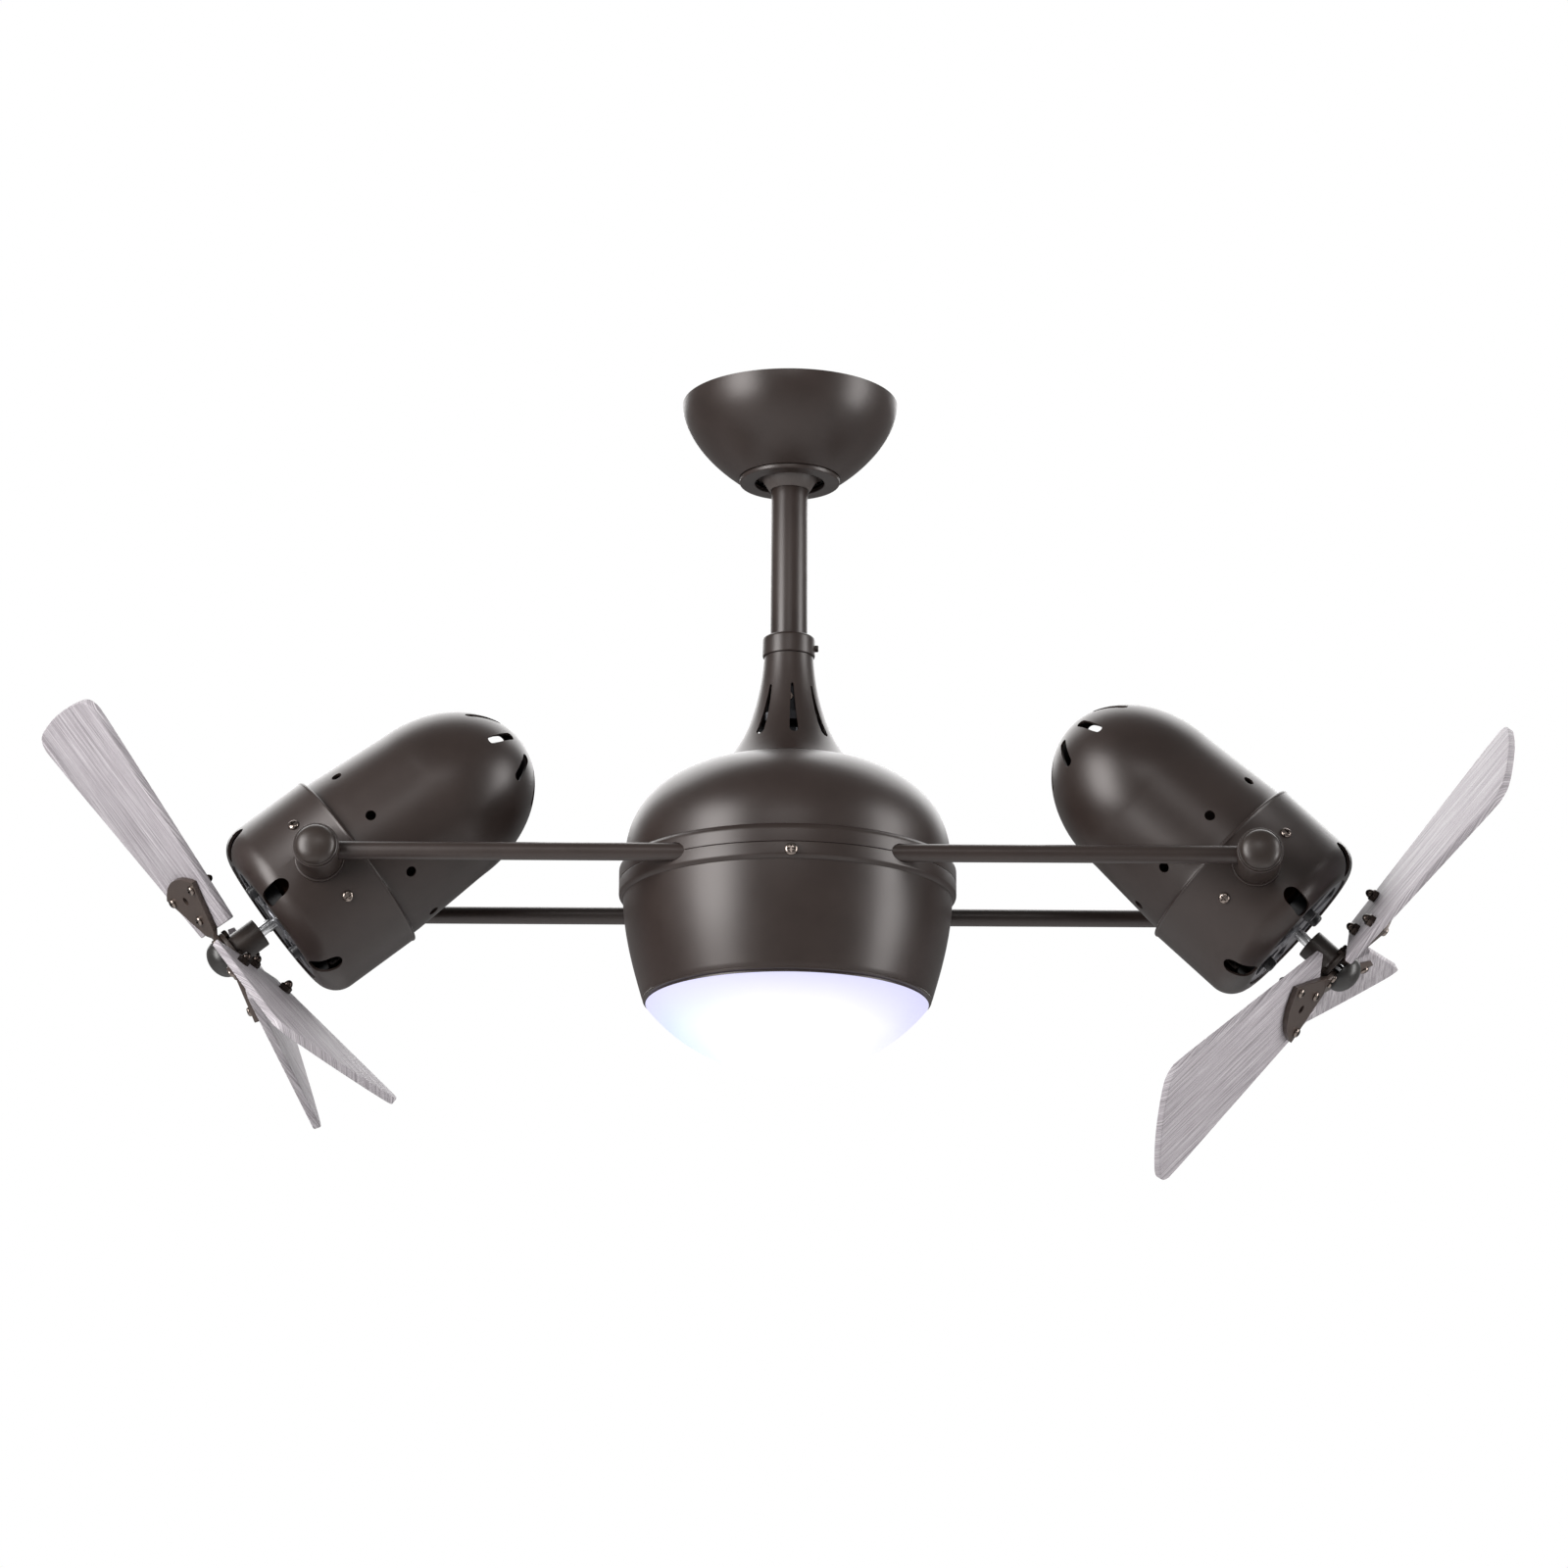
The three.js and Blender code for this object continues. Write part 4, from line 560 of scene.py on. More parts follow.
# %% Canopy
AT_CEILING = {"body": "ceiling_mount", "slot": "bronze_paint", "material": BRONZE}
CANOPY_SHEET, CANOPY_FOOT, CANOPY_HOLE = 1.5, -58.0, 29.0
cup = bent((79, -0.5), (78, -22), (58, -44), (38, CANOPY_FOOT), 40)
cup_inside = walled(cup, -CANOPY_SHEET)[len(cup) + 1:]
cup_floor = [(CANOPY_HOLE, CANOPY_FOOT), (CANOPY_HOLE, CANOPY_FOOT + CANOPY_SHEET),
             (36, CANOPY_FOOT + CANOPY_SHEET)]
canopy_profile = np.vstack([cup, cup_floor, cup_inside])
add("canopy_cup", spun(canopy_profile, 128), nodes=["canopy"], **AT_CEILING)
ring_profile = softened([(25.5, -58.3), (25.5, -61.5), (36.8, -61.5), (36.8, -58.3)],
                        [0.2, 0.8, 2.2, 0.2], 6)
add("canopy_trim_ring", spun(ring_profile, 128), nodes=["canopy_ring"], **AT_CEILING)

# %% [markdown]
# ## The ball, the rod and the collar
# The fan hangs by a ball that sits in the bracket, so it finds its own plumb line. The ball's
# nose shows in the ring. Below it comes a plain pipe, and a collar that hides the neck's top.

# %% Ball, rod and collar
HANGING = {"body": "hanger", "slot": "bronze_paint", "material": BRONZE}
ARMS = -366.0
BALL_RADIUS, BALL_CENTRE = 30, -41
ROD_RADIUS, ROD_BORE, ROD_FIT = 13.35, 10.95, 13.65
ROD_TOP, ROD_FOOT = -27, ARMS + 118.3
COLLAR_FOOT, COLLAR_TOP = 171, 186
ball_side = bow((0, 0), BALL_RADIUS, BALL_RADIUS, 23.6, -25.7, 16)
ball_nose = [(21.0, -13), (21.0, -15.6), (20.6, -16.5), (14.9, -25.6), (14.5, -26)]
ball_profile = np.vstack([[(ROD_FIT, 12)], ball_side, ball_nose, [(ROD_FIT, -26)]])
add("ball", moved(spun(ball_profile, 96), shift(z=BALL_CENTRE)), "hanger", "dark_moulding",
    BALL_PAINT, ["hanger_ball"])
rod_profile = softened([(ROD_RADIUS, ROD_FOOT), (ROD_RADIUS, ROD_TOP), (ROD_BORE, ROD_TOP),
                        (ROD_BORE, ROD_FOOT)], 0.3, 2)
add("rod", spun(rod_profile, 96), nodes=["downrod"], **HANGING)
collar_profile = softened([(ROD_FIT, COLLAR_FOOT), (18.7, COLLAR_FOOT), (19, COLLAR_FOOT + 0.8),
                           (19, COLLAR_TOP), (ROD_FIT, COLLAR_TOP)], [0.2, 0.4, 0.4, 3.2, 0.2], 6)
add("collar", moved(spun(collar_profile, 96), shift(z=ARMS)), nodes=["downrod_collar"], **HANGING)

# %% [markdown]
# ## The neck cover
# A trumpet of thin metal flares from the collar to the dome, with eight tapered slots that
# cool what is inside. The slots are cut through the finished skin.

# %% Neck cover
NECK_TOP, NECK_WALL = 170.7, 2
NECK_SLOTS, NECK_CLOCKING = 8, 7
SLOT_FOOT, SLOT_FOOT_RADIUS, SLOT_TOP = 108.75, 3.25, 145
flare = bent((17.8, NECK_TOP), (19.5, 146), (25.5, 112), (46, 89.4), 40)
flare_inner = flare[1:] - [NECK_WALL, 0]
flare_inner = flare_inner[flare_inner[:, 0] > 17]
neck_roof = [(16.2, NECK_TOP - NECK_WALL), (ROD_FIT, NECK_TOP - NECK_WALL), (ROD_FIT, NECK_TOP)]
neck_profile = np.vstack([flare, flare_inner[::-1], neck_roof])


def neck_slot(angle):
    """A slot's outline: a half circle of radius 3.25 below and of 1 above, joined straight."""
    t = np.linspace(0, np.pi, 14)
    foot = np.stack([-SLOT_FOOT_RADIUS * np.cos(t), SLOT_FOOT - SLOT_FOOT_RADIUS * np.sin(t)], -1)
    top = np.stack([np.cos(t), SLOT_TOP + np.sin(t)], -1)
    cutter = slab(np.vstack([foot, top]), 15, 46)
    return moved(cutter, turn("Z", angle) @ turn("X", 90))


neck_cutters = together(*[neck_slot(NECK_CLOCKING + 360 / NECK_SLOTS * i)
                          for i in range(NECK_SLOTS)])
add("neck", moved(spun(neck_profile, 128), shift(z=ARMS)), nodes=["neck_cover"],
    minus=moved(neck_cutters, shift(z=ARMS)), **HANGING)

# %% [markdown]
# ## The turning housing
# The dome is a squared-off ellipse and the skirt tapers to the lamp, with a bead and a groove
# round the waist where the two pressings meet. Both have round notches where the arms pass.

# %% Housing
CARRIED = {"body": "carrier", "slot": "bronze_paint", "material": BRONZE}
ARM_PLACES = {"front": -90.0, "rear": 90.0}
WAIST, HOUSING_SHEET, ARM_HOLE = 121, 2.2, 6.65
DOME_RADIUS, DOME_FOOT, DOME_RISE, DOME_HOLE = 117, 14, 78, 34
SQUARENESS = 2.4


def dome_line():
    """A squared-off ellipse: r = R cos(t)^(2/n), z = foot + rise sin(t)^(2/n), up to the hole."""
    power = 2 / SQUARENESS
    t = np.linspace(0, math.acos((DOME_HOLE / DOME_RADIUS) ** (1 / power)), 48)
    return np.stack([DOME_RADIUS * np.cos(t) ** power, DOME_FOOT + DOME_RISE * np.sin(t) ** power],
                    -1)


dome = dome_line()
bead = softened([(116.5, 0.15), (WAIST, 0.15), (WAIST, 10.5), (118.6, 13.4), (116.5, 13.4)],
                [0, 0.4, 3.0, 1.2, 0], 5)[1:-1]
dome_inside = walled(dome, HOUSING_SHEET)[len(dome):]
upper_profile = np.vstack([bead, dome, dome_inside, [(114.8, 0.15)]])
arm_cutter = spun([(0, -260), (ARM_HOLE, -260), (ARM_HOLE, 260), (0, 260)], 40)
notches = together(*[moved(arm_cutter, shift(y=place) @ turn("Y", 90))
                     for place in ARM_PLACES.values()])
add("dome", moved(spun(upper_profile, 160), shift(z=ARMS)), nodes=["upper_shell"],
    minus=moved(notches, shift(z=ARMS)), **CARRIED)

skirt = bent((118, -13.5), (116.5, -42), (109.4, -64.3), (102.4, -88.3), 40)
band = softened([(115.5, -0.15), (WAIST, -0.15), (WAIST, -9.0), (119.6, -10.8), (118.2, -12.0)],
                [0, 0.4, 1.0, 0.8, 0.4], 4)[1:]
skirt_inner = skirt - [HOUSING_SHEET, 0]
skirt_inner = skirt_inner[skirt_inner[:, 1] > -76]
lip = [(102.95, -85.0), (103.15, -85.7), (102.9, -86.3), (102.2, -86.6), (100.9, -86.8),
       (100.4, -87.1), (100.4, -88.3), (95.7, -88.3), (95.7, -80.1), (100.2, -80.1)]
skirt = skirt[skirt[:, 1] > -84.4]
lower_profile = np.vstack([band, skirt, lip, skirt_inner[::-1], [(115.8, -0.15)]])
add("skirt", moved(spun(lower_profile, 160), shift(z=ARMS)), nodes=["lower_shell"],
    minus=moved(notches, shift(z=ARMS)), **CARRIED)

# %% [markdown]
# ## The glass bowl
# A shallow cap of a sphere, whose neck stands inside the skirt's lip. The outer and the inner
# skin are two arcs, so the glass has its real thickness.

# %% Glass bowl
GLASS_RIM, GLASS_DEPTH, GLASS_WALL, RIM_Z = 101.0, 48.0, 3, -88.6
GLASS_NECK, GLASS_NECK_BORE, GLASS_NECK_TOP = 95.4, 92.4, -80.4
sphere = (GLASS_RIM**2 + GLASS_DEPTH**2) / (2 * GLASS_DEPTH)
hollow = sphere - GLASS_WALL
middle = RIM_Z - GLASS_DEPTH + sphere
rim_angle = -math.degrees(math.acos(GLASS_RIM / sphere))
inner_angle = -math.degrees(math.acos(GLASS_NECK_BORE / hollow))
outside = bow((0, middle), sphere, sphere, -90, rim_angle, 48)
inside = bow((0, middle), hollow, hollow, inner_angle, -90, 40)
outside[0, 0] = inside[-1, 0] = 0
glass_neck = [(GLASS_NECK, RIM_Z), (GLASS_NECK, GLASS_NECK_TOP), (GLASS_NECK_BORE, GLASS_NECK_TOP)]
bowl_profile = np.vstack([outside, glass_neck, inside])
add("bowl", moved(spun(bowl_profile, 160), shift(z=ARMS)), "carrier", "opal_glass", OPAL,
    ["glass_bowl"])

# %% [markdown]
# ## The arms
# Two half-inch tubes run right through the housing, one in front of the hub and one behind it,
# and carry a knuckle at each end.

# %% Arms
ARM_RADIUS, ARM_BORE, ARM_HALF = 6.35, 4.75, 322
tube_profile = softened([(ARM_RADIUS, -ARM_HALF), (ARM_RADIUS, ARM_HALF), (ARM_BORE, ARM_HALF),
                         (ARM_BORE, -ARM_HALF)], 0.25, 2)
for name, place in ARM_PLACES.items():
    add(f"{name}_tube", moved(spun(tube_profile, 48), shift(y=place, z=ARMS) @ turn("Y", 90)),
        nodes=[f"{name}_arm"], **CARRIED)

# %% [markdown]
# ## Small hardware
# Each kind of screw or nut is made once, as arrays, and then placed wherever the fan has one.
# A pan head is a low dome with a cross pressed into it. A nut is a hexagon with its corners
# turned down. A cap nut adds a small dome.

# %% Hardware templates
SHANK_FOOT = -1.2


def arrays(made):
    """Takes an object's points, in millimetres, and its faces, and removes the object."""
    mesh = made.data
    points = np.zeros(len(mesh.vertices) * 3)
    mesh.vertices.foreach_get("co", points)
    faces = [list(face.vertices) for face in mesh.polygons]
    bpy.data.objects.remove(made)
    return points.reshape(-1, 3) / MM, faces


def pan_head(radius, height):
    """A pan head standing on z = 0: an elliptic dome over a short side, with a cross cut in it.

    Its lengths are shares of the radius and of the height.
    """
    shank, foot = radius * 0.55, radius * 0.97
    crown = bow((radius * 0.35, height * 0.35), radius * 0.65, height * 0.65, 0, 90, 7)
    profile = np.vstack([[(0, SHANK_FOOT), (shank, SHANK_FOOT), (shank, 0), (foot, 0)], crown,
                         [(0, height)]])
    head = mesh_object("pan_head", spun(profile, 24))
    arm, half, deep = radius * 0.62, radius * 0.13, height * 0.75
    bar = slab(softened([(-arm, -half), (arm, -half), (arm, half), (-arm, half)], 0),
               height - deep, height + 2)
    carve(head, bar, "DIFFERENCE")
    carve(head, moved(bar, turn("Z", 90)), "DIFFERENCE")
    return arrays(head)


def hexagon(across):
    """Six corners, each across / sqrt(3) from the middle."""
    t = np.radians(np.arange(6) * 60)
    return np.stack([np.cos(t), np.sin(t)], -1) * across / math.sqrt(3)


def hex_nut(across, height):
    """A hexagon prism standing on z = 0, met with a cone so that its corners are turned down."""
    nut = mesh_object("hex_nut", slab(hexagon(across), 0, height))
    reach = across / math.sqrt(3)
    cone = spun([(0, -1), (reach, -1), (reach, height * 0.8), (across * 0.42, height),
                 (0, height)], 36)
    carve(nut, cone, "INTERSECT")
    return arrays(nut)


def cap_nut(across, height):
    """A hexagon with a dome on it."""
    nut = hex_nut(across, height * 0.55)
    crown = np.vstack([[(0, height * 0.4), (across * 0.4, height * 0.4)],
                       bow((0, height * 0.52), across * 0.4, height * 0.48, 0, 90, 7)])
    crown[-1, 0] = 0
    return together(nut, spun(crown, 24))


BAND_SCREW = pan_head(4.6, 3.0)
COVER_SCREW = pan_head(4.0, 2.6)
BLADE_SCREW = pan_head(3.6, 2.6)
HUB_NUT = hex_nut(5.4, 3.2)
BLADE_NUT = cap_nut(8.0, 8.6)
print("screw faces:", len(BLADE_SCREW[1]), "nut faces:", len(BLADE_NUT[1]))

# %% [markdown]
# ### Screws on the body
# Three pan head screws hold the skirt's band, one of them at the front, and a thumb screw pins
# the collar to the rod.

# %% Band screw and collar screw
BAND_SCREW_LEVEL, COLLAR_SCREW_LEVEL = -6.0, 178
on_band = shift(y=-WAIST) @ turn("X", 90)
band_screws = [moved(BAND_SCREW, shift(z=BAND_SCREW_LEVEL) @ turn("Z", angle) @ on_band)
               for angle in (1, 121, 241)]
add("band_screws", moved(together(*band_screws), shift(z=ARMS)), "carrier", "steel", SCREW_STEEL,
    sharp=30)
thumb = np.array([(0, 17.5), (2.5, 17.5), (2.5, 21.0), (2.1, 21.5), (0, 21.5)])
add("collar_screw", moved(spun(thumb, 24), shift(z=ARMS + COLLAR_SCREW_LEVEL) @ turn("Y", 90)),
    "hanger", "dark_bronze", DARK_BRONZE)

# %% [markdown]
# ## The motor heads
# Both heads are the same pressings at another tilt, so they are made by one function from a
# placing matrix. In a head's own coordinates +Z is the blades' axis, +Y is the tilt pin that
# is further from the eye on the left head, and the pin's height on the axis is zero.

# %% Head frame and knuckles
HEADS = {"left": {"sign": -1, "tilt": 37.8, "blade_phase": -16.0, "vent_clocking": 4.0},
         "right": {"sign": 1, "tilt": 43.2, "blade_phase": 37.4, "vent_clocking": -4.0}}
PIVOT = 330
PIN_HOLE = 4.3


def head_matrix(side):
    """Columns: u, across the head and up; the tilt pin; the blades' axis; and the pivot."""
    sign, tilt = HEADS[side]["sign"], math.radians(HEADS[side]["tilt"])
    matrix = np.eye(4)
    matrix[:3, 0] = sign * math.sin(tilt), 0, math.cos(tilt)
    matrix[:3, 1] = 0, -sign, 0
    matrix[:3, 2] = sign * math.cos(tilt), 0, -math.sin(tilt)
    matrix[:3, 3] = sign * PIVOT, 0, ARMS
    return matrix


def knuckle_and_cap(side, name, arm_place):
    """A thick washer on the arm's end, and the bolt through it under a domed cap."""
    sign = HEADS[side]["sign"]
    place = shift(x=sign * PIVOT, z=ARMS) @ turn("X", math.copysign(90, -arm_place))
    washer = softened([(PIN_HOLE, 71.3), (16.3, 71.3), (16.3, 103), (PIN_HOLE, 103)],
                      [0.2, 0.6, 0.6, 0.2], 4)
    arm_seat = spun([(0, 8.3), (ARM_HOLE, 8.3), (ARM_HOLE, 20), (0, 20)], 40)
    inwards = shift(x=sign * PIVOT, y=arm_place, z=ARMS) @ turn("Y", -90 * sign)
    add(f"{side}_{name}_washer", moved(spun(washer, 72), place), nodes=[f"{side}_{name}_knuckle"],
        minus=moved(arm_seat, inwards), **CARRIED)
    cap = np.vstack([
        [(0, 58), (7.2, 58), (7.5, 58.3), (7.5, 61.2), (7.2, 61.5), (4, 61.5), (4, 103.3)],
        [(14.9, 103.3), (15.3, 103.7), (15.3, 104.7), (14.9, 105.1), (14.4, 105.15)],
        bow((0, 105.1), 14.2, 6.9, 0, 90, 20)])
    cap[-1, 0] = 0
    add(f"{side}_{name}_cap", moved(spun(cap, 72), place), "carrier", "dark_bronze", DARK_BRONZE,
        [f"{side}_{name}_pivot_bolt"])


for side in HEADS:
    for name, arm_place in ARM_PLACES.items():
        knuckle_and_cap(side, name, arm_place)

# %% [markdown]
# ### Cover and shell
# The front cover is a drawn cup with a soft front corner, six slots over that corner and a
# round pad under each knuckle. The rear shell is a longer cup with a domed end, eight round
# vents in its side and eight long ones that run down the dome.

# %% Front cover
COVER_RADIUS, COVER_FACE, CORNER, COVER_SHEET = 69.2, 48, 18, 2.0
CORNER_SLOTS, CORNER_SLOT_LENGTH, CORNER_SLOT_WIDTH = 6, 25, 12.5
PAD_RADIUS, PAD_FACE = 17.5, 71.0
face_edge = [(50, COVER_FACE)]
corner_arc = bow((COVER_RADIUS - CORNER, COVER_FACE - CORNER), CORNER, CORNER, 0, 90, 20)
cover_inside = walled(np.vstack([corner_arc, face_edge]), COVER_SHEET)[len(corner_arc) + 1:]
rolled_edge = bow((68.55, -25.7), 1.25, 1.25, 195, 400, 16)
cover_profile = np.vstack([rolled_edge, [(COVER_RADIUS, -24.0)], corner_arc, face_edge,
                           cover_inside, [(COVER_RADIUS - COVER_SHEET, 26.0)]])


def slot_over_corner(angle):
    """An obround cutter laid across the corner, from its side to the front face."""
    low, high = np.array([COVER_RADIUS, 28.0]), np.array([COVER_RADIUS - CORNER * 0.83, 47.5])
    centre, rise = (low + high) / 2, high - low
    slope = math.degrees(math.atan2(rise[1], -rise[0]))
    cutter = slab(obround(CORNER_SLOT_LENGTH, CORNER_SLOT_WIDTH), -14, 14)
    return moved(cutter, turn("Z", angle) @ shift(x=centre[0], z=centre[1]) @ turn("Y", slope))


corner_slots = [slot_over_corner(90 + 360 / CORNER_SLOTS * i) for i in range(CORNER_SLOTS)]
pin_cutter = moved(spun([(0, -140), (PIN_HOLE, -140), (PIN_HOLE, 140), (0, 140)], 32),
                   turn("X", 90))
pad = spun(softened([(0, 68.2), (PAD_RADIUS, 68.2), (PAD_RADIUS, PAD_FACE), (0, PAD_FACE)],
                    [0, 0, 0.7, 0], 3), 64)
pads = together(*[moved(pad, turn("X", quarter)) for quarter in (-90, 90)])

# %% Rear shell and its vents
SHELL_RADIUS, SHELL_DOME, SHELL_SHOULDER, SHELL_SHEET = 61.3, 78, -95, 1.8
VENTS, VENT_RADIUS, VENT_STATION, VENT_LENGTH, VENT_WIDTH = 8, 3.8, -47.5, 28, 6.6
dome_arc = bow((0, SHELL_SHOULDER), SHELL_RADIUS, SHELL_DOME, 0, -90, 48)
dome_arc[-1, 0] = 0
shell_line = np.vstack([[(66.9, -16), (66.9, -24.0), (66.5, -25.5), (65.6, -27.2), (65.3, -29)],
                        np.linspace((65.2, -34), (61.45, -91), 8), dome_arc])
shell_profile = walled(shell_line[::-1], SHELL_SHEET)
down_dome = math.radians(56)
vent_r = SHELL_RADIUS * math.cos(down_dome)
vent_z = SHELL_SHOULDER - SHELL_DOME * math.sin(down_dome)
vent_slope = math.degrees(math.atan2(SHELL_DOME * math.cos(down_dome),
                                     SHELL_RADIUS * math.sin(down_dome)))


def shell_cutters(clocking):
    """Round cutters square to the side, and long ones square to the dome, at eight angles."""
    round_vent = spun([(0, 53), (VENT_RADIUS, 53), (VENT_RADIUS, 74), (0, 74)], 32)
    long_vent = slab(obround(VENT_LENGTH, VENT_WIDTH), -10, 10)
    in_side = shift(z=VENT_STATION) @ turn("Y", 90)
    in_dome = shift(x=vent_r, z=vent_z) @ turn("Y", -vent_slope)
    angles = [90 + clocking + 360 / VENTS * i for i in range(VENTS)]
    return together(*[moved(round_vent, turn("Z", angle) @ in_side) for angle in angles],
                    *[moved(long_vent, turn("Z", angle) @ in_dome) for angle in angles])


# %% Both heads' pressings and screws
COVER_SCREW_SEAT = 69.1
COVER_SCREW_ANGLES = (90 - 28, 90 + 28, -90 - 28, -90 + 28)
for side, head in HEADS.items():
    place = head_matrix(side)
    SHELL = {"body": f"{side}_head", "slot": "bronze_paint", "material": BRONZE}
    add(f"{side}_cover", moved(spun(cover_profile, 160), place), plus=moved(pads, place),
        minus=moved(together(*corner_slots, pin_cutter), place), nodes=[f"{side}_front_cover"],
        **SHELL)
    add(f"{side}_shell", moved(spun(shell_profile, 160), place),
        minus=moved(shell_cutters(head["vent_clocking"]), place), nodes=[f"{side}_rear_shell"],
        **SHELL)
    screws = [moved(COVER_SCREW, place @ turn("Z", angle) @ shift(x=COVER_SCREW_SEAT)
                    @ turn("Y", 90)) for angle in COVER_SCREW_ANGLES]
    add(f"{side}_cover_screws", together(*screws), f"{side}_head", "steel", SCREW_STEEL, sharp=30)

# %% [markdown]
# ### What shows of the motor
# The front of each head is nearly edge-on to the eye: a bright cast plate with windows, the
# copper behind them, kept nearly black as painted shade, and three black buffers that stand a
# little proud.

# %% Motor front
WINDOWS, WINDOW_OUT, WINDOW_IN, WINDOW_HALF_ANGLE = 6, 42, 19, 19
BUFFER_CIRCLE, BUFFER_ANGLES = 30, (-45, -165, 75)
WINDING_RADIUS, WINDING_BUNDLES = 38, 12


def window(angle):
    """One opening between two spokes: an annulus sector with soft corners."""
    a = np.radians(np.linspace(-WINDOW_HALF_ANGLE, WINDOW_HALF_ANGLE, 12))
    outer = WINDOW_OUT * np.stack([np.cos(a), np.sin(a)], -1)
    inner = WINDOW_IN * np.stack([np.cos(a[::-1]), np.sin(a[::-1]) * 0.75], -1)
    outline = softened(np.vstack([outer, inner]), 2.0, 2)
    return moved(slab(outline, 20, 60), turn("Z", angle))


plate_profile = softened([(4.3, 39), (14, 37.5), (14, 40), (43, 40), (43, 35.4), (49.7, 35.4),
                          (49.7, 46.5), (15, 46.5), (15, 47.5), (4.3, 47.5)],
                         [0.3, 0.5, 1, 1.5, 0.3, 0.3, 1.2, 1.0, 0.8, 0.3], 4)
windows = together(*[window(360 / WINDOWS * i) for i in range(WINDOWS)])
buffer_line = np.vstack([[(0, 45.5), (4.6, 45.5)], bow((3.0, 50.5), 1.6, 1.6, 0, 90, 6),
                         [(0, 52.1)]])


def radius_map(matrix):
    """U is the distance from the head's axis, and V the height along it."""
    back = np.linalg.inv(matrix)

    def mapped(points):
        own = points @ back[:3, :3].T + back[:3, 3]
        return np.stack([np.hypot(own[:, 0], own[:, 1]), own[:, 2]], -1) * MM

    return mapped


def winding(front):
    """Copper bundles round the bore: a flattened torus whose tube is 5.2 + 1.3 cos 12a."""
    a = np.linspace(0, 2 * np.pi, 193)[:-1, None]
    b = np.linspace(0, 2 * np.pi, 17)[None, :-1]
    tube_radius = 5.2 + 1.3 * np.cos(WINDING_BUNDLES * a)
    radius = WINDING_RADIUS + tube_radius * np.cos(b)
    height = front - 4.5 + 0.62 * tube_radius * np.sin(b)
    grid = np.stack([radius * np.cos(a), radius * np.sin(a), height + 0 * a], -1)
    return outward(*net(grid, True, True))


for side in HEADS:
    place = head_matrix(side)
    HEAD = f"{side}_head"
    add(f"{side}_end_plate", moved(spun(plate_profile, 120), place), HEAD, "cast_aluminium",
        PLATE, [f"{side}_motor_end_plate"], minus=moved(windows, place), uv=radius_map(place))
    spots = [BUFFER_CIRCLE * np.array([math.cos(a), math.sin(a)])
             for a in np.radians(BUFFER_ANGLES)]
    buffers = [moved(spun(buffer_line, 24), place @ shift(*spot)) for spot in spots]
    add(f"{side}_buffers", together(*buffers), HEAD, "dark_moulding", MOULDING)
    add(f"{side}_winding", moved(winding(38.5), place), HEAD, "laminations", SHADE_DARK_COPPER)

# %% [markdown]
# ## Blades
# A blade is 5.5 mm ply, cut as a long trapezoid whose tip bows out between rounded corners.
# Its outline is one closed line. The slab tool gives it its thickness and its eased edges, and
# its own X and Y become the map that the grain runs along.

# %% Blade shape
ROOT, TIP, ROOT_HALF, TIP_HALF, BULGE = 20.5, 210.0, 30.0, 60.0, 6.0
CORNER_DROP, CORNER_TUCK, ROOT_CORNER = 9.0, 0.012, 1.2
HALF_BLADE, BLADE_EDGE = 2.75, 0.9


def blade_outline():
    """Sides: half width = a + b x. Tip: x = T - bulge v^2 - drop |v|^12 for v from -1 to 1.

    The twelfth power leaves the tip alone but for its corners, which it rounds.
    """
    slope = (TIP_HALF - ROOT_HALF) / (TIP - BULGE - ROOT)
    v = np.linspace(-1, 1, 61)
    corner = np.abs(v) ** 12
    x = TIP - BULGE * v**2 - CORNER_DROP * corner
    half = ROOT_HALF + slope * (x - ROOT)
    tip = np.stack([x, v * half * (1 - CORNER_TUCK * corner)], -1)
    side_x = np.linspace(tip[-1, 0], ROOT, 14)[1:-1]
    upper = np.stack([side_x, ROOT_HALF + slope * (side_x - ROOT)], -1)
    lower = upper[::-1] * [1, -1]
    block = softened([(ROOT, ROOT_HALF), (ROOT, -ROOT_HALF), (ROOT + 40, -ROOT_HALF),
                      (ROOT + 40, ROOT_HALF)], ROOT_CORNER, 3)
    root = block[block[:, 0] < ROOT + 5]
    root = root[np.argsort(-root[:, 1])]
    return np.vstack([tip, upper, root, lower])


BLADE = slab(blade_outline(), -HALF_BLADE, HALF_BLADE, BLADE_EDGE, 3)


def blade_map(matrix, offset):
    """U = x and V = y + z in the blade's own frame, so that the grain runs on over the edges."""
    back = np.linalg.inv(matrix)

    def mapped(points):
        own = points @ back[:3, :3].T + back[:3, 3]
        return np.stack([own[:, 0], own[:, 1] + own[:, 2]], -1) * MM + offset

    return mapped


print("blade points:", len(BLADE[0]))

# %% [markdown]
# ## Blade irons
# Each iron is one bar, flat on the hub, twisted by the blade's pitch and widened into a shield
# on the blade's outer face. It is lofted: a rounded rectangle whose width and twist are
# functions of the distance from the hub.

# %% Blade iron
PITCH = 19.0
BLADE_PLANE = 82.5
HALF_IRON, IRON_GAP = 2.0, 0.3
IRON_LEVEL = BLADE_PLANE + (HALF_BLADE + IRON_GAP + HALF_IRON) / math.cos(math.radians(PITCH))
IRON_SHOULDER, IRON_BOW, IRON_HALF = 57.0, 9.0, 28.5
IRON_END = IRON_SHOULDER + IRON_BOW
IRON_EDGE = 0.6
TWIST_START, TWIST_LENGTH = 16.5, 3.5


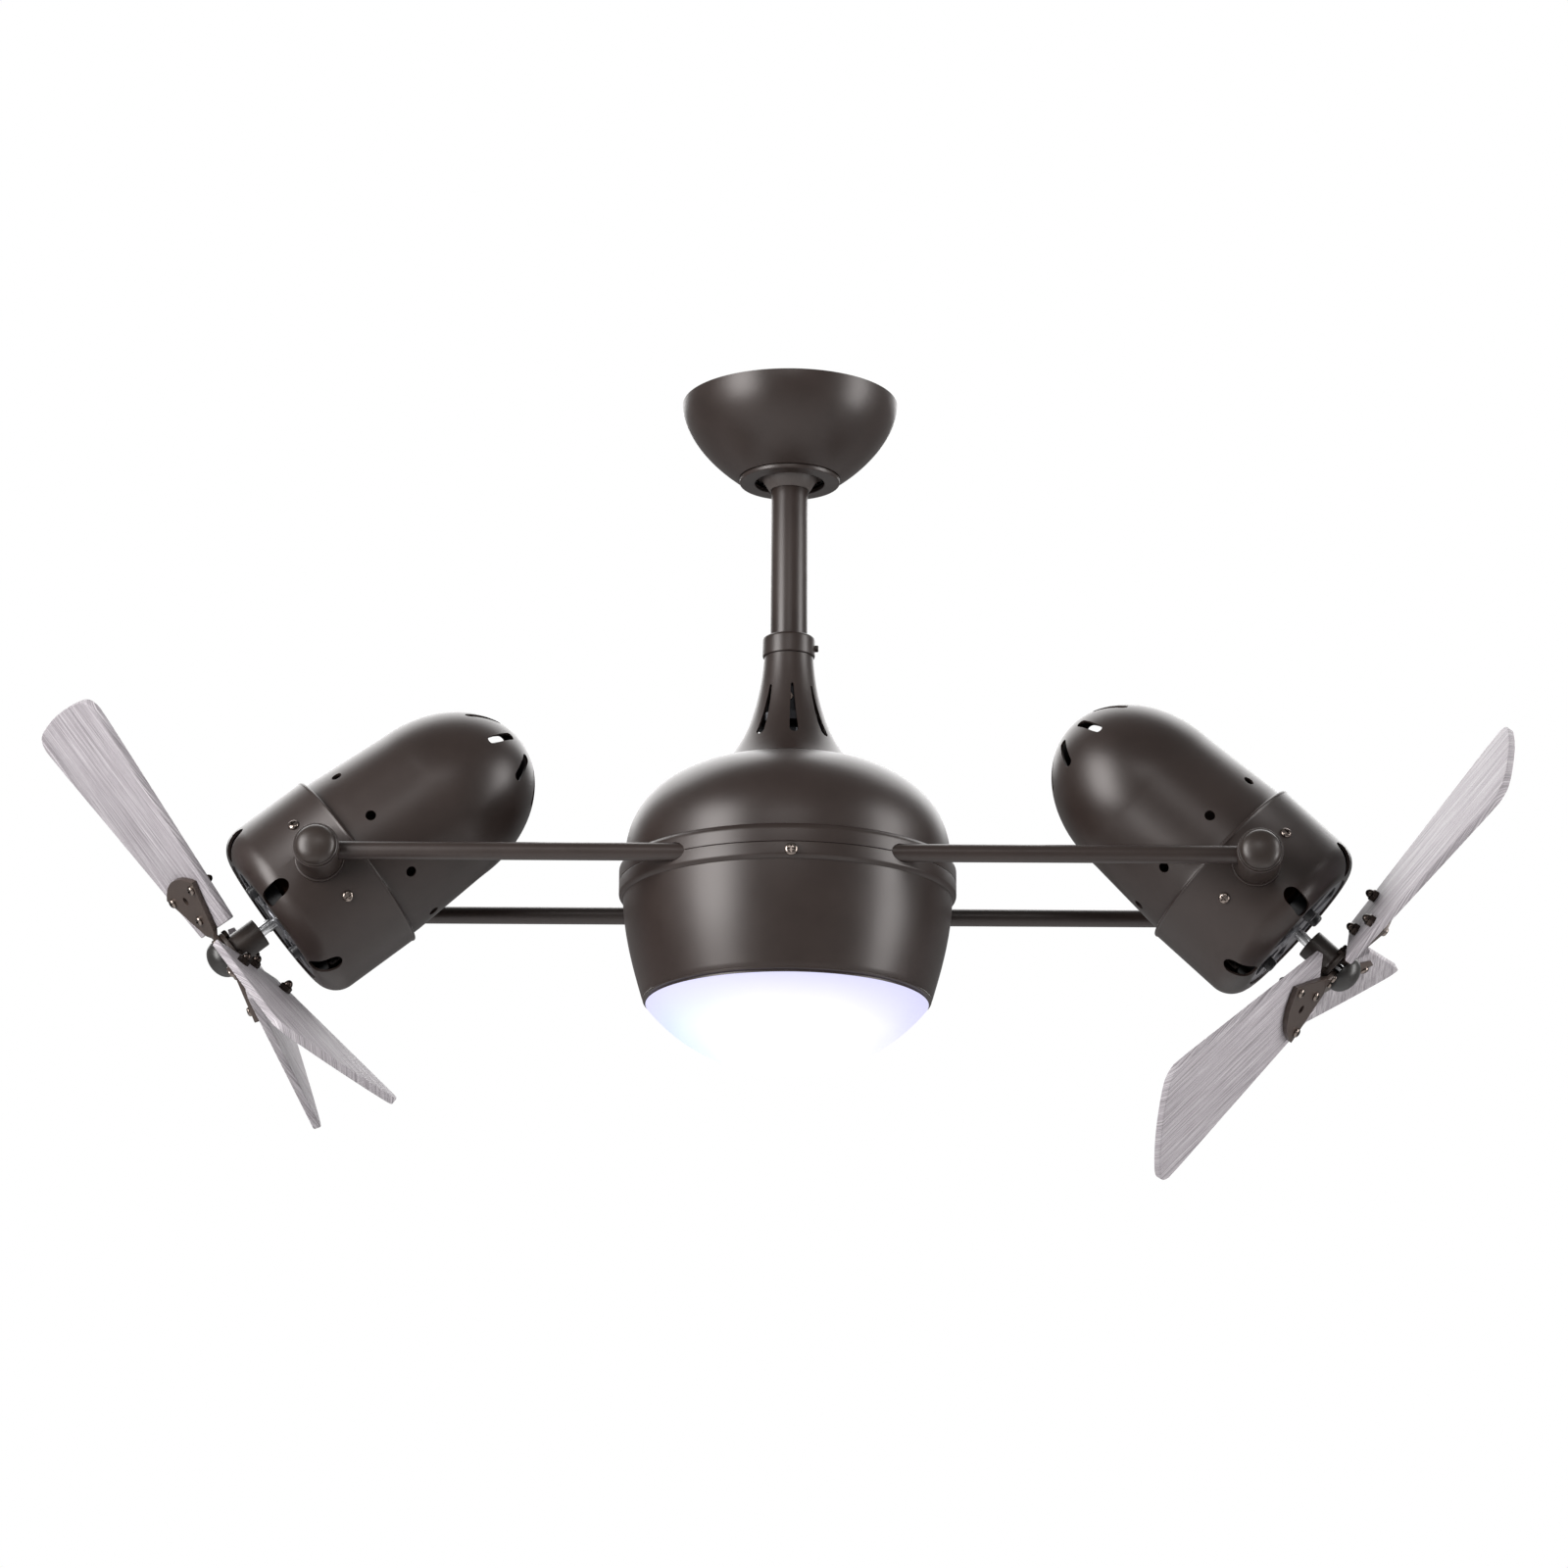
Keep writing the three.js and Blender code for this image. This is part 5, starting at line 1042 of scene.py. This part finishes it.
def iron_width(x):
    """Straight from the neck to the shoulder, then times (1 - s)^(1/2), s the bow's share."""
    flare_out = np.interp(x, [7, 11, 16.3, 20, IRON_SHOULDER], [10.5, 13, 14, 16, 2 * IRON_HALF])
    share = np.clip((x - IRON_SHOULDER) / IRON_BOW, 0, 1)
    return flare_out * np.sqrt(1 - share)


def iron():
    """A loft of rounded rectangles, twisted by pitch (x - start) / length, from 0 to the pitch."""
    bowed = IRON_END - IRON_BOW * np.cos(np.linspace(0.12, 0.495 * np.pi, 20)) ** 2
    x = np.concatenate([np.linspace(7, 24, 26), np.linspace(25, IRON_SHOULDER, 12), bowed])
    width = iron_width(x)
    twist = np.radians(PITCH * np.clip((x - TWIST_START) / TWIST_LENGTH, 0, 1))
    corner_sign = np.repeat([(-1, -1), (1, -1), (1, 1), (-1, 1)], 3, 0)
    inner = np.stack([np.outer(width / 2 - IRON_EDGE, corner_sign[:, 0]),
                      np.outer(np.full(len(x), HALF_IRON - IRON_EDGE), corner_sign[:, 1])], -1)
    round_corner = np.radians([180, 225, 270, 270, 315, 360, 0, 45, 90, 90, 135, 180])
    section = inner + IRON_EDGE * np.stack([np.cos(round_corner), np.sin(round_corner)], -1)
    y = section[..., 0] * np.cos(twist)[:, None] - section[..., 1] * np.sin(twist)[:, None]
    z = section[..., 0] * np.sin(twist)[:, None] + section[..., 1] * np.cos(twist)[:, None]
    corners = len(round_corner)
    grid = np.stack([np.repeat(x[:, None], corners, 1), y, z], -1)
    points, sides = net(grid, False, True)
    near_end = list(range(corners))
    far_end = list(range(len(points) - corners, len(points)))
    return outward(points, sides + [near_end, far_end[::-1]])


IRON = iron()
BARE_HOLE, BARE_HOLE_PLACE = 3.25, 49
hole_cutter = spun([(0, -12), (BARE_HOLE, -12), (BARE_HOLE, 12), (0, 12)], 28)
bare_hole = moved(hole_cutter, turn("X", PITCH) @ shift(x=BARE_HOLE_PLACE))

# %% [markdown]
# ### Rotors
# The shaft, hub, irons, blades and spinner turn together. Round head screws stand on the
# shield, cap nuts on the blade's other face, and small nuts crowd round the hub.

# %% Rotors
SCREW_SPOTS = [(53.0, -20.5), (53.0, 20.5), (32.0, 0.0)]
IRON_SEAT, SCREW_SEAT, NUT_SEAT = HALF_IRON + IRON_GAP, 1.95, -2.72
SHAFT_END, SPINNER_TIP, SPINNER_RADIUS, BORE_END = 92.5, 103, 14, 92.8
BLADE_COUNT = 3
hub_top = IRON_LEVEL - IRON_SEAT
hub_profile = softened([(4.3, 59.5), (11, 59.5), (11, hub_top - 4.7), (12.5, hub_top - 3.2),
                        (16, hub_top - 3.2), (16, hub_top), (4.3, hub_top)],
                       [0.3, 1.0, 1.0, 0.5, 0.6, 0.3, 0.2], 4)
shaft_profile = np.array([(0, -25), (3.6, -25), (4, -24.6), (4, 9), (24.4, 9), (24.4, 34), (4, 34),
                          (4, 92), (3.6, SHAFT_END), (0, SHAFT_END)])
spinner_base = IRON_LEVEL + IRON_SEAT
spinner_profile = np.vstack([
    [(0, BORE_END), (4.3, BORE_END), (4.3, spinner_base), (13.0, spinner_base),
     (13.7, spinner_base + 0.6)],
    bow((0, spinner_base + 2.5), SPINNER_RADIUS, SPINNER_TIP - spinner_base - 2.5, 0, 90, 24)])
spinner_profile[-1, 0] = 0

for side, head in HEADS.items():
    place = head_matrix(side)
    row = int(head["sign"] > 0)
    ROTOR = f"{side}_rotor"
    add(f"{side}_shaft", moved(spun(shaft_profile, 48), place), ROTOR, "steel", STEEL,
        [f"{side}_motor_shaft"])
    add(f"{side}_hub", moved(spun(hub_profile, 72), place), ROTOR, "dark_bronze", DARK_BRONZE,
        [f"{side}_blade_hub"])
    add(f"{side}_nose", moved(spun(spinner_profile, 72), place), ROTOR, "spinner_grey",
        SPINNER_GREY, [f"{side}_spinner"])
    screws, nuts, hub_nuts = [], [], []
    for i in range(BLADE_COUNT):
        spoke = place @ turn("Z", head["blade_phase"] + 360 / BLADE_COUNT * i)
        pitched = spoke @ shift(z=BLADE_PLANE) @ turn("X", PITCH)
        on_iron = spoke @ shift(z=IRON_LEVEL)
        add(f"{side}_leaf_{i + 1}", moved(BLADE, pitched), ROTOR, "washed_wood", WOOD,
            [f"{side}_blade_{i + 1}"], uv=blade_map(pitched, [0.31 * i, 0.17 * (i + row)]))
        add(f"{side}_iron_{i + 1}", moved(IRON, on_iron), ROTOR, "dark_bronze", LIT_IRON_BRONZE,
            [f"{side}_blade_iron_{i + 1}"], minus=moved(bare_hole, on_iron), sharp=25)
        for x, y in SCREW_SPOTS:
            screws.append(moved(BLADE_SCREW, on_iron @ turn("X", PITCH) @ shift(x, y, SCREW_SEAT)))
            nuts.append(moved(BLADE_NUT, pitched @ shift(x, y, NUT_SEAT) @ turn("X", 180)))
        for y in (-3.4, 3.4):
            under_hub = shift(13.4, y, hub_top - 3.15) @ turn("X", 180)
            on_root = shift(11.5, y * 1.1, IRON_LEVEL + SCREW_SEAT)
            hub_nuts.append(moved(HUB_NUT, spoke @ under_hub))
            screws.append(moved(BLADE_SCREW, spoke @ on_root))
    add(f"{side}_blade_screws", together(*screws), ROTOR, "steel", SCREW_STEEL, sharp=30)
    add(f"{side}_blade_nuts", together(*nuts), ROTOR, "dark_bronze", BLACKENED_AND_SHADE, sharp=30)
    add(f"{side}_hub_nuts", together(*hub_nuts), ROTOR, "dark_bronze", BLACKENED_AND_SHADE, sharp=30)

# %% [markdown]
# ## Solids that keep their own mesh
# What is inside the canopy, the neck and the housing keeps the imported mesh, because its shape
# is already right, and only takes its finish.

# %% Finishes of the inner solids
# Painted shade: the near black zinc, the blackened yoke pin and the dark copper stand for the
# shade inside the neck and the heads.
INNER = {
    SHADE_DARK_ZINC: ["hanger_bracket", "yoke"],
    STEEL: ["hanger_pin", "spindle", "upper_bearing", "lower_bearing"],
    BLACKENED_AND_SHADE: ["yoke_pin"],
    BRASS: ["slip_ring"],
    ALUMINIUM: ["carrier_hub", "left_motor_rear_bell", "right_motor_rear_bell"],
    WHITE_PAINT: ["light_pan", "led_driver"],
    BOARD: ["led_board"],
    MOULDING: ["brush_block"],
    SHADE_DARK_COPPER: ["left_stator", "right_stator"],
}
for finish, names in INNER.items():
    for name in names:
        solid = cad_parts[name]
        solid.data.materials.clear()
        solid.data.materials.append(finish)

# %% [markdown]
# ## Light and background
# The photograph is a catalogue picture on white: large soft lamps on both sides, and white all
# round. The world is a plain grey for the light, and white to the camera alone. The floor glows
# a little to the camera alone as well, so that it stays pale where the lamps don't reach it.

# %% World
AMBIENT = 0.27
world = bpy.data.worlds.new("world")
bpy.context.scene.world = world
world.use_nodes = True
sky = world.node_tree
ambient = sky.nodes["Background"]
seen = sky.nodes.new("ShaderNodeBackground")
for background, strength in ((ambient, AMBIENT), (seen, 1.0)):
    background.inputs["Color"].default_value = (1, 1, 1, 1)
    background.inputs["Strength"].default_value = strength
ray = sky.nodes.new("ShaderNodeLightPath")
pick = sky.nodes.new("ShaderNodeMixShader")
sky.links.new(ray.outputs["Is Camera Ray"], pick.inputs["Fac"])
sky.links.new(ambient.outputs[0], pick.inputs[1])
sky.links.new(seen.outputs[0], pick.inputs[2])
sky.links.new(pick.outputs[0], sky.nodes["World Output"].inputs["Surface"])

# %% Floor
FLOOR_Z, FLOOR_HALF, FLOOR_GLOW = -2.4, 12, 0.55
floor_corners = [(FLOOR_HALF * x, FLOOR_HALF * y, FLOOR_Z)
                 for x, y in ((-1, -1), (1, -1), (1, 1), (-1, 1))]
floor_data = bpy.data.meshes.new("floor")
floor_data.from_pydata(floor_corners, [], [(0, 1, 2, 3)])
floor_object = bpy.data.objects.new("floor", floor_data)
bpy.context.scene.collection.objects.link(floor_object)
floor_finish, floor_tree, floor_shader = material("floor")
floor_shader.inputs["Base Color"].default_value = (0.82, 0.82, 0.82, 1)
floor_shader.inputs["Roughness"].default_value = 0.9
floor_shader.inputs["Emission Color"].default_value = (1, 1, 1, 1)
floor_ray = floor_tree.nodes.new("ShaderNodeLightPath")
floor_tree.links.new(times(floor_tree, floor_ray.outputs["Is Camera Ray"], FLOOR_GLOW),
                     floor_shader.inputs["Emission Strength"])
floor_data.materials.append(floor_finish)


# %% Lamps
def lamp(name, place, aim_at, size, power):
    """A soft box at a place, turned to face a point."""
    data = bpy.data.lights.new(name, "AREA")
    data.shape = "RECTANGLE"
    data.size, data.size_y = size
    data.energy = power
    made = bpy.data.objects.new(name, data)
    made.location = place
    made.rotation_mode = "QUATERNION"
    made.rotation_quaternion = (Vector(aim_at) - Vector(place)).to_track_quat("-Z", "Y")
    bpy.context.scene.collection.objects.link(made)


HEART = (0, 0, -0.33)
lamp("left_box", (-2.13, -1.66, 0.0), HEART, (1.3, 2.3), 118)
lamp("right_box", (2.62, -0.66, -0.05), HEART, (1.0, 2.4), 72)
lamp("back_box", (0.0, 2.4, 2.0), HEART, (5.0, 3.0), 150)
lamp("front_box", (0.0, -3.6, 0.95), HEART, (1.8, 0.6), 16)

bpy.context.scene.view_settings.view_transform = "Standard"
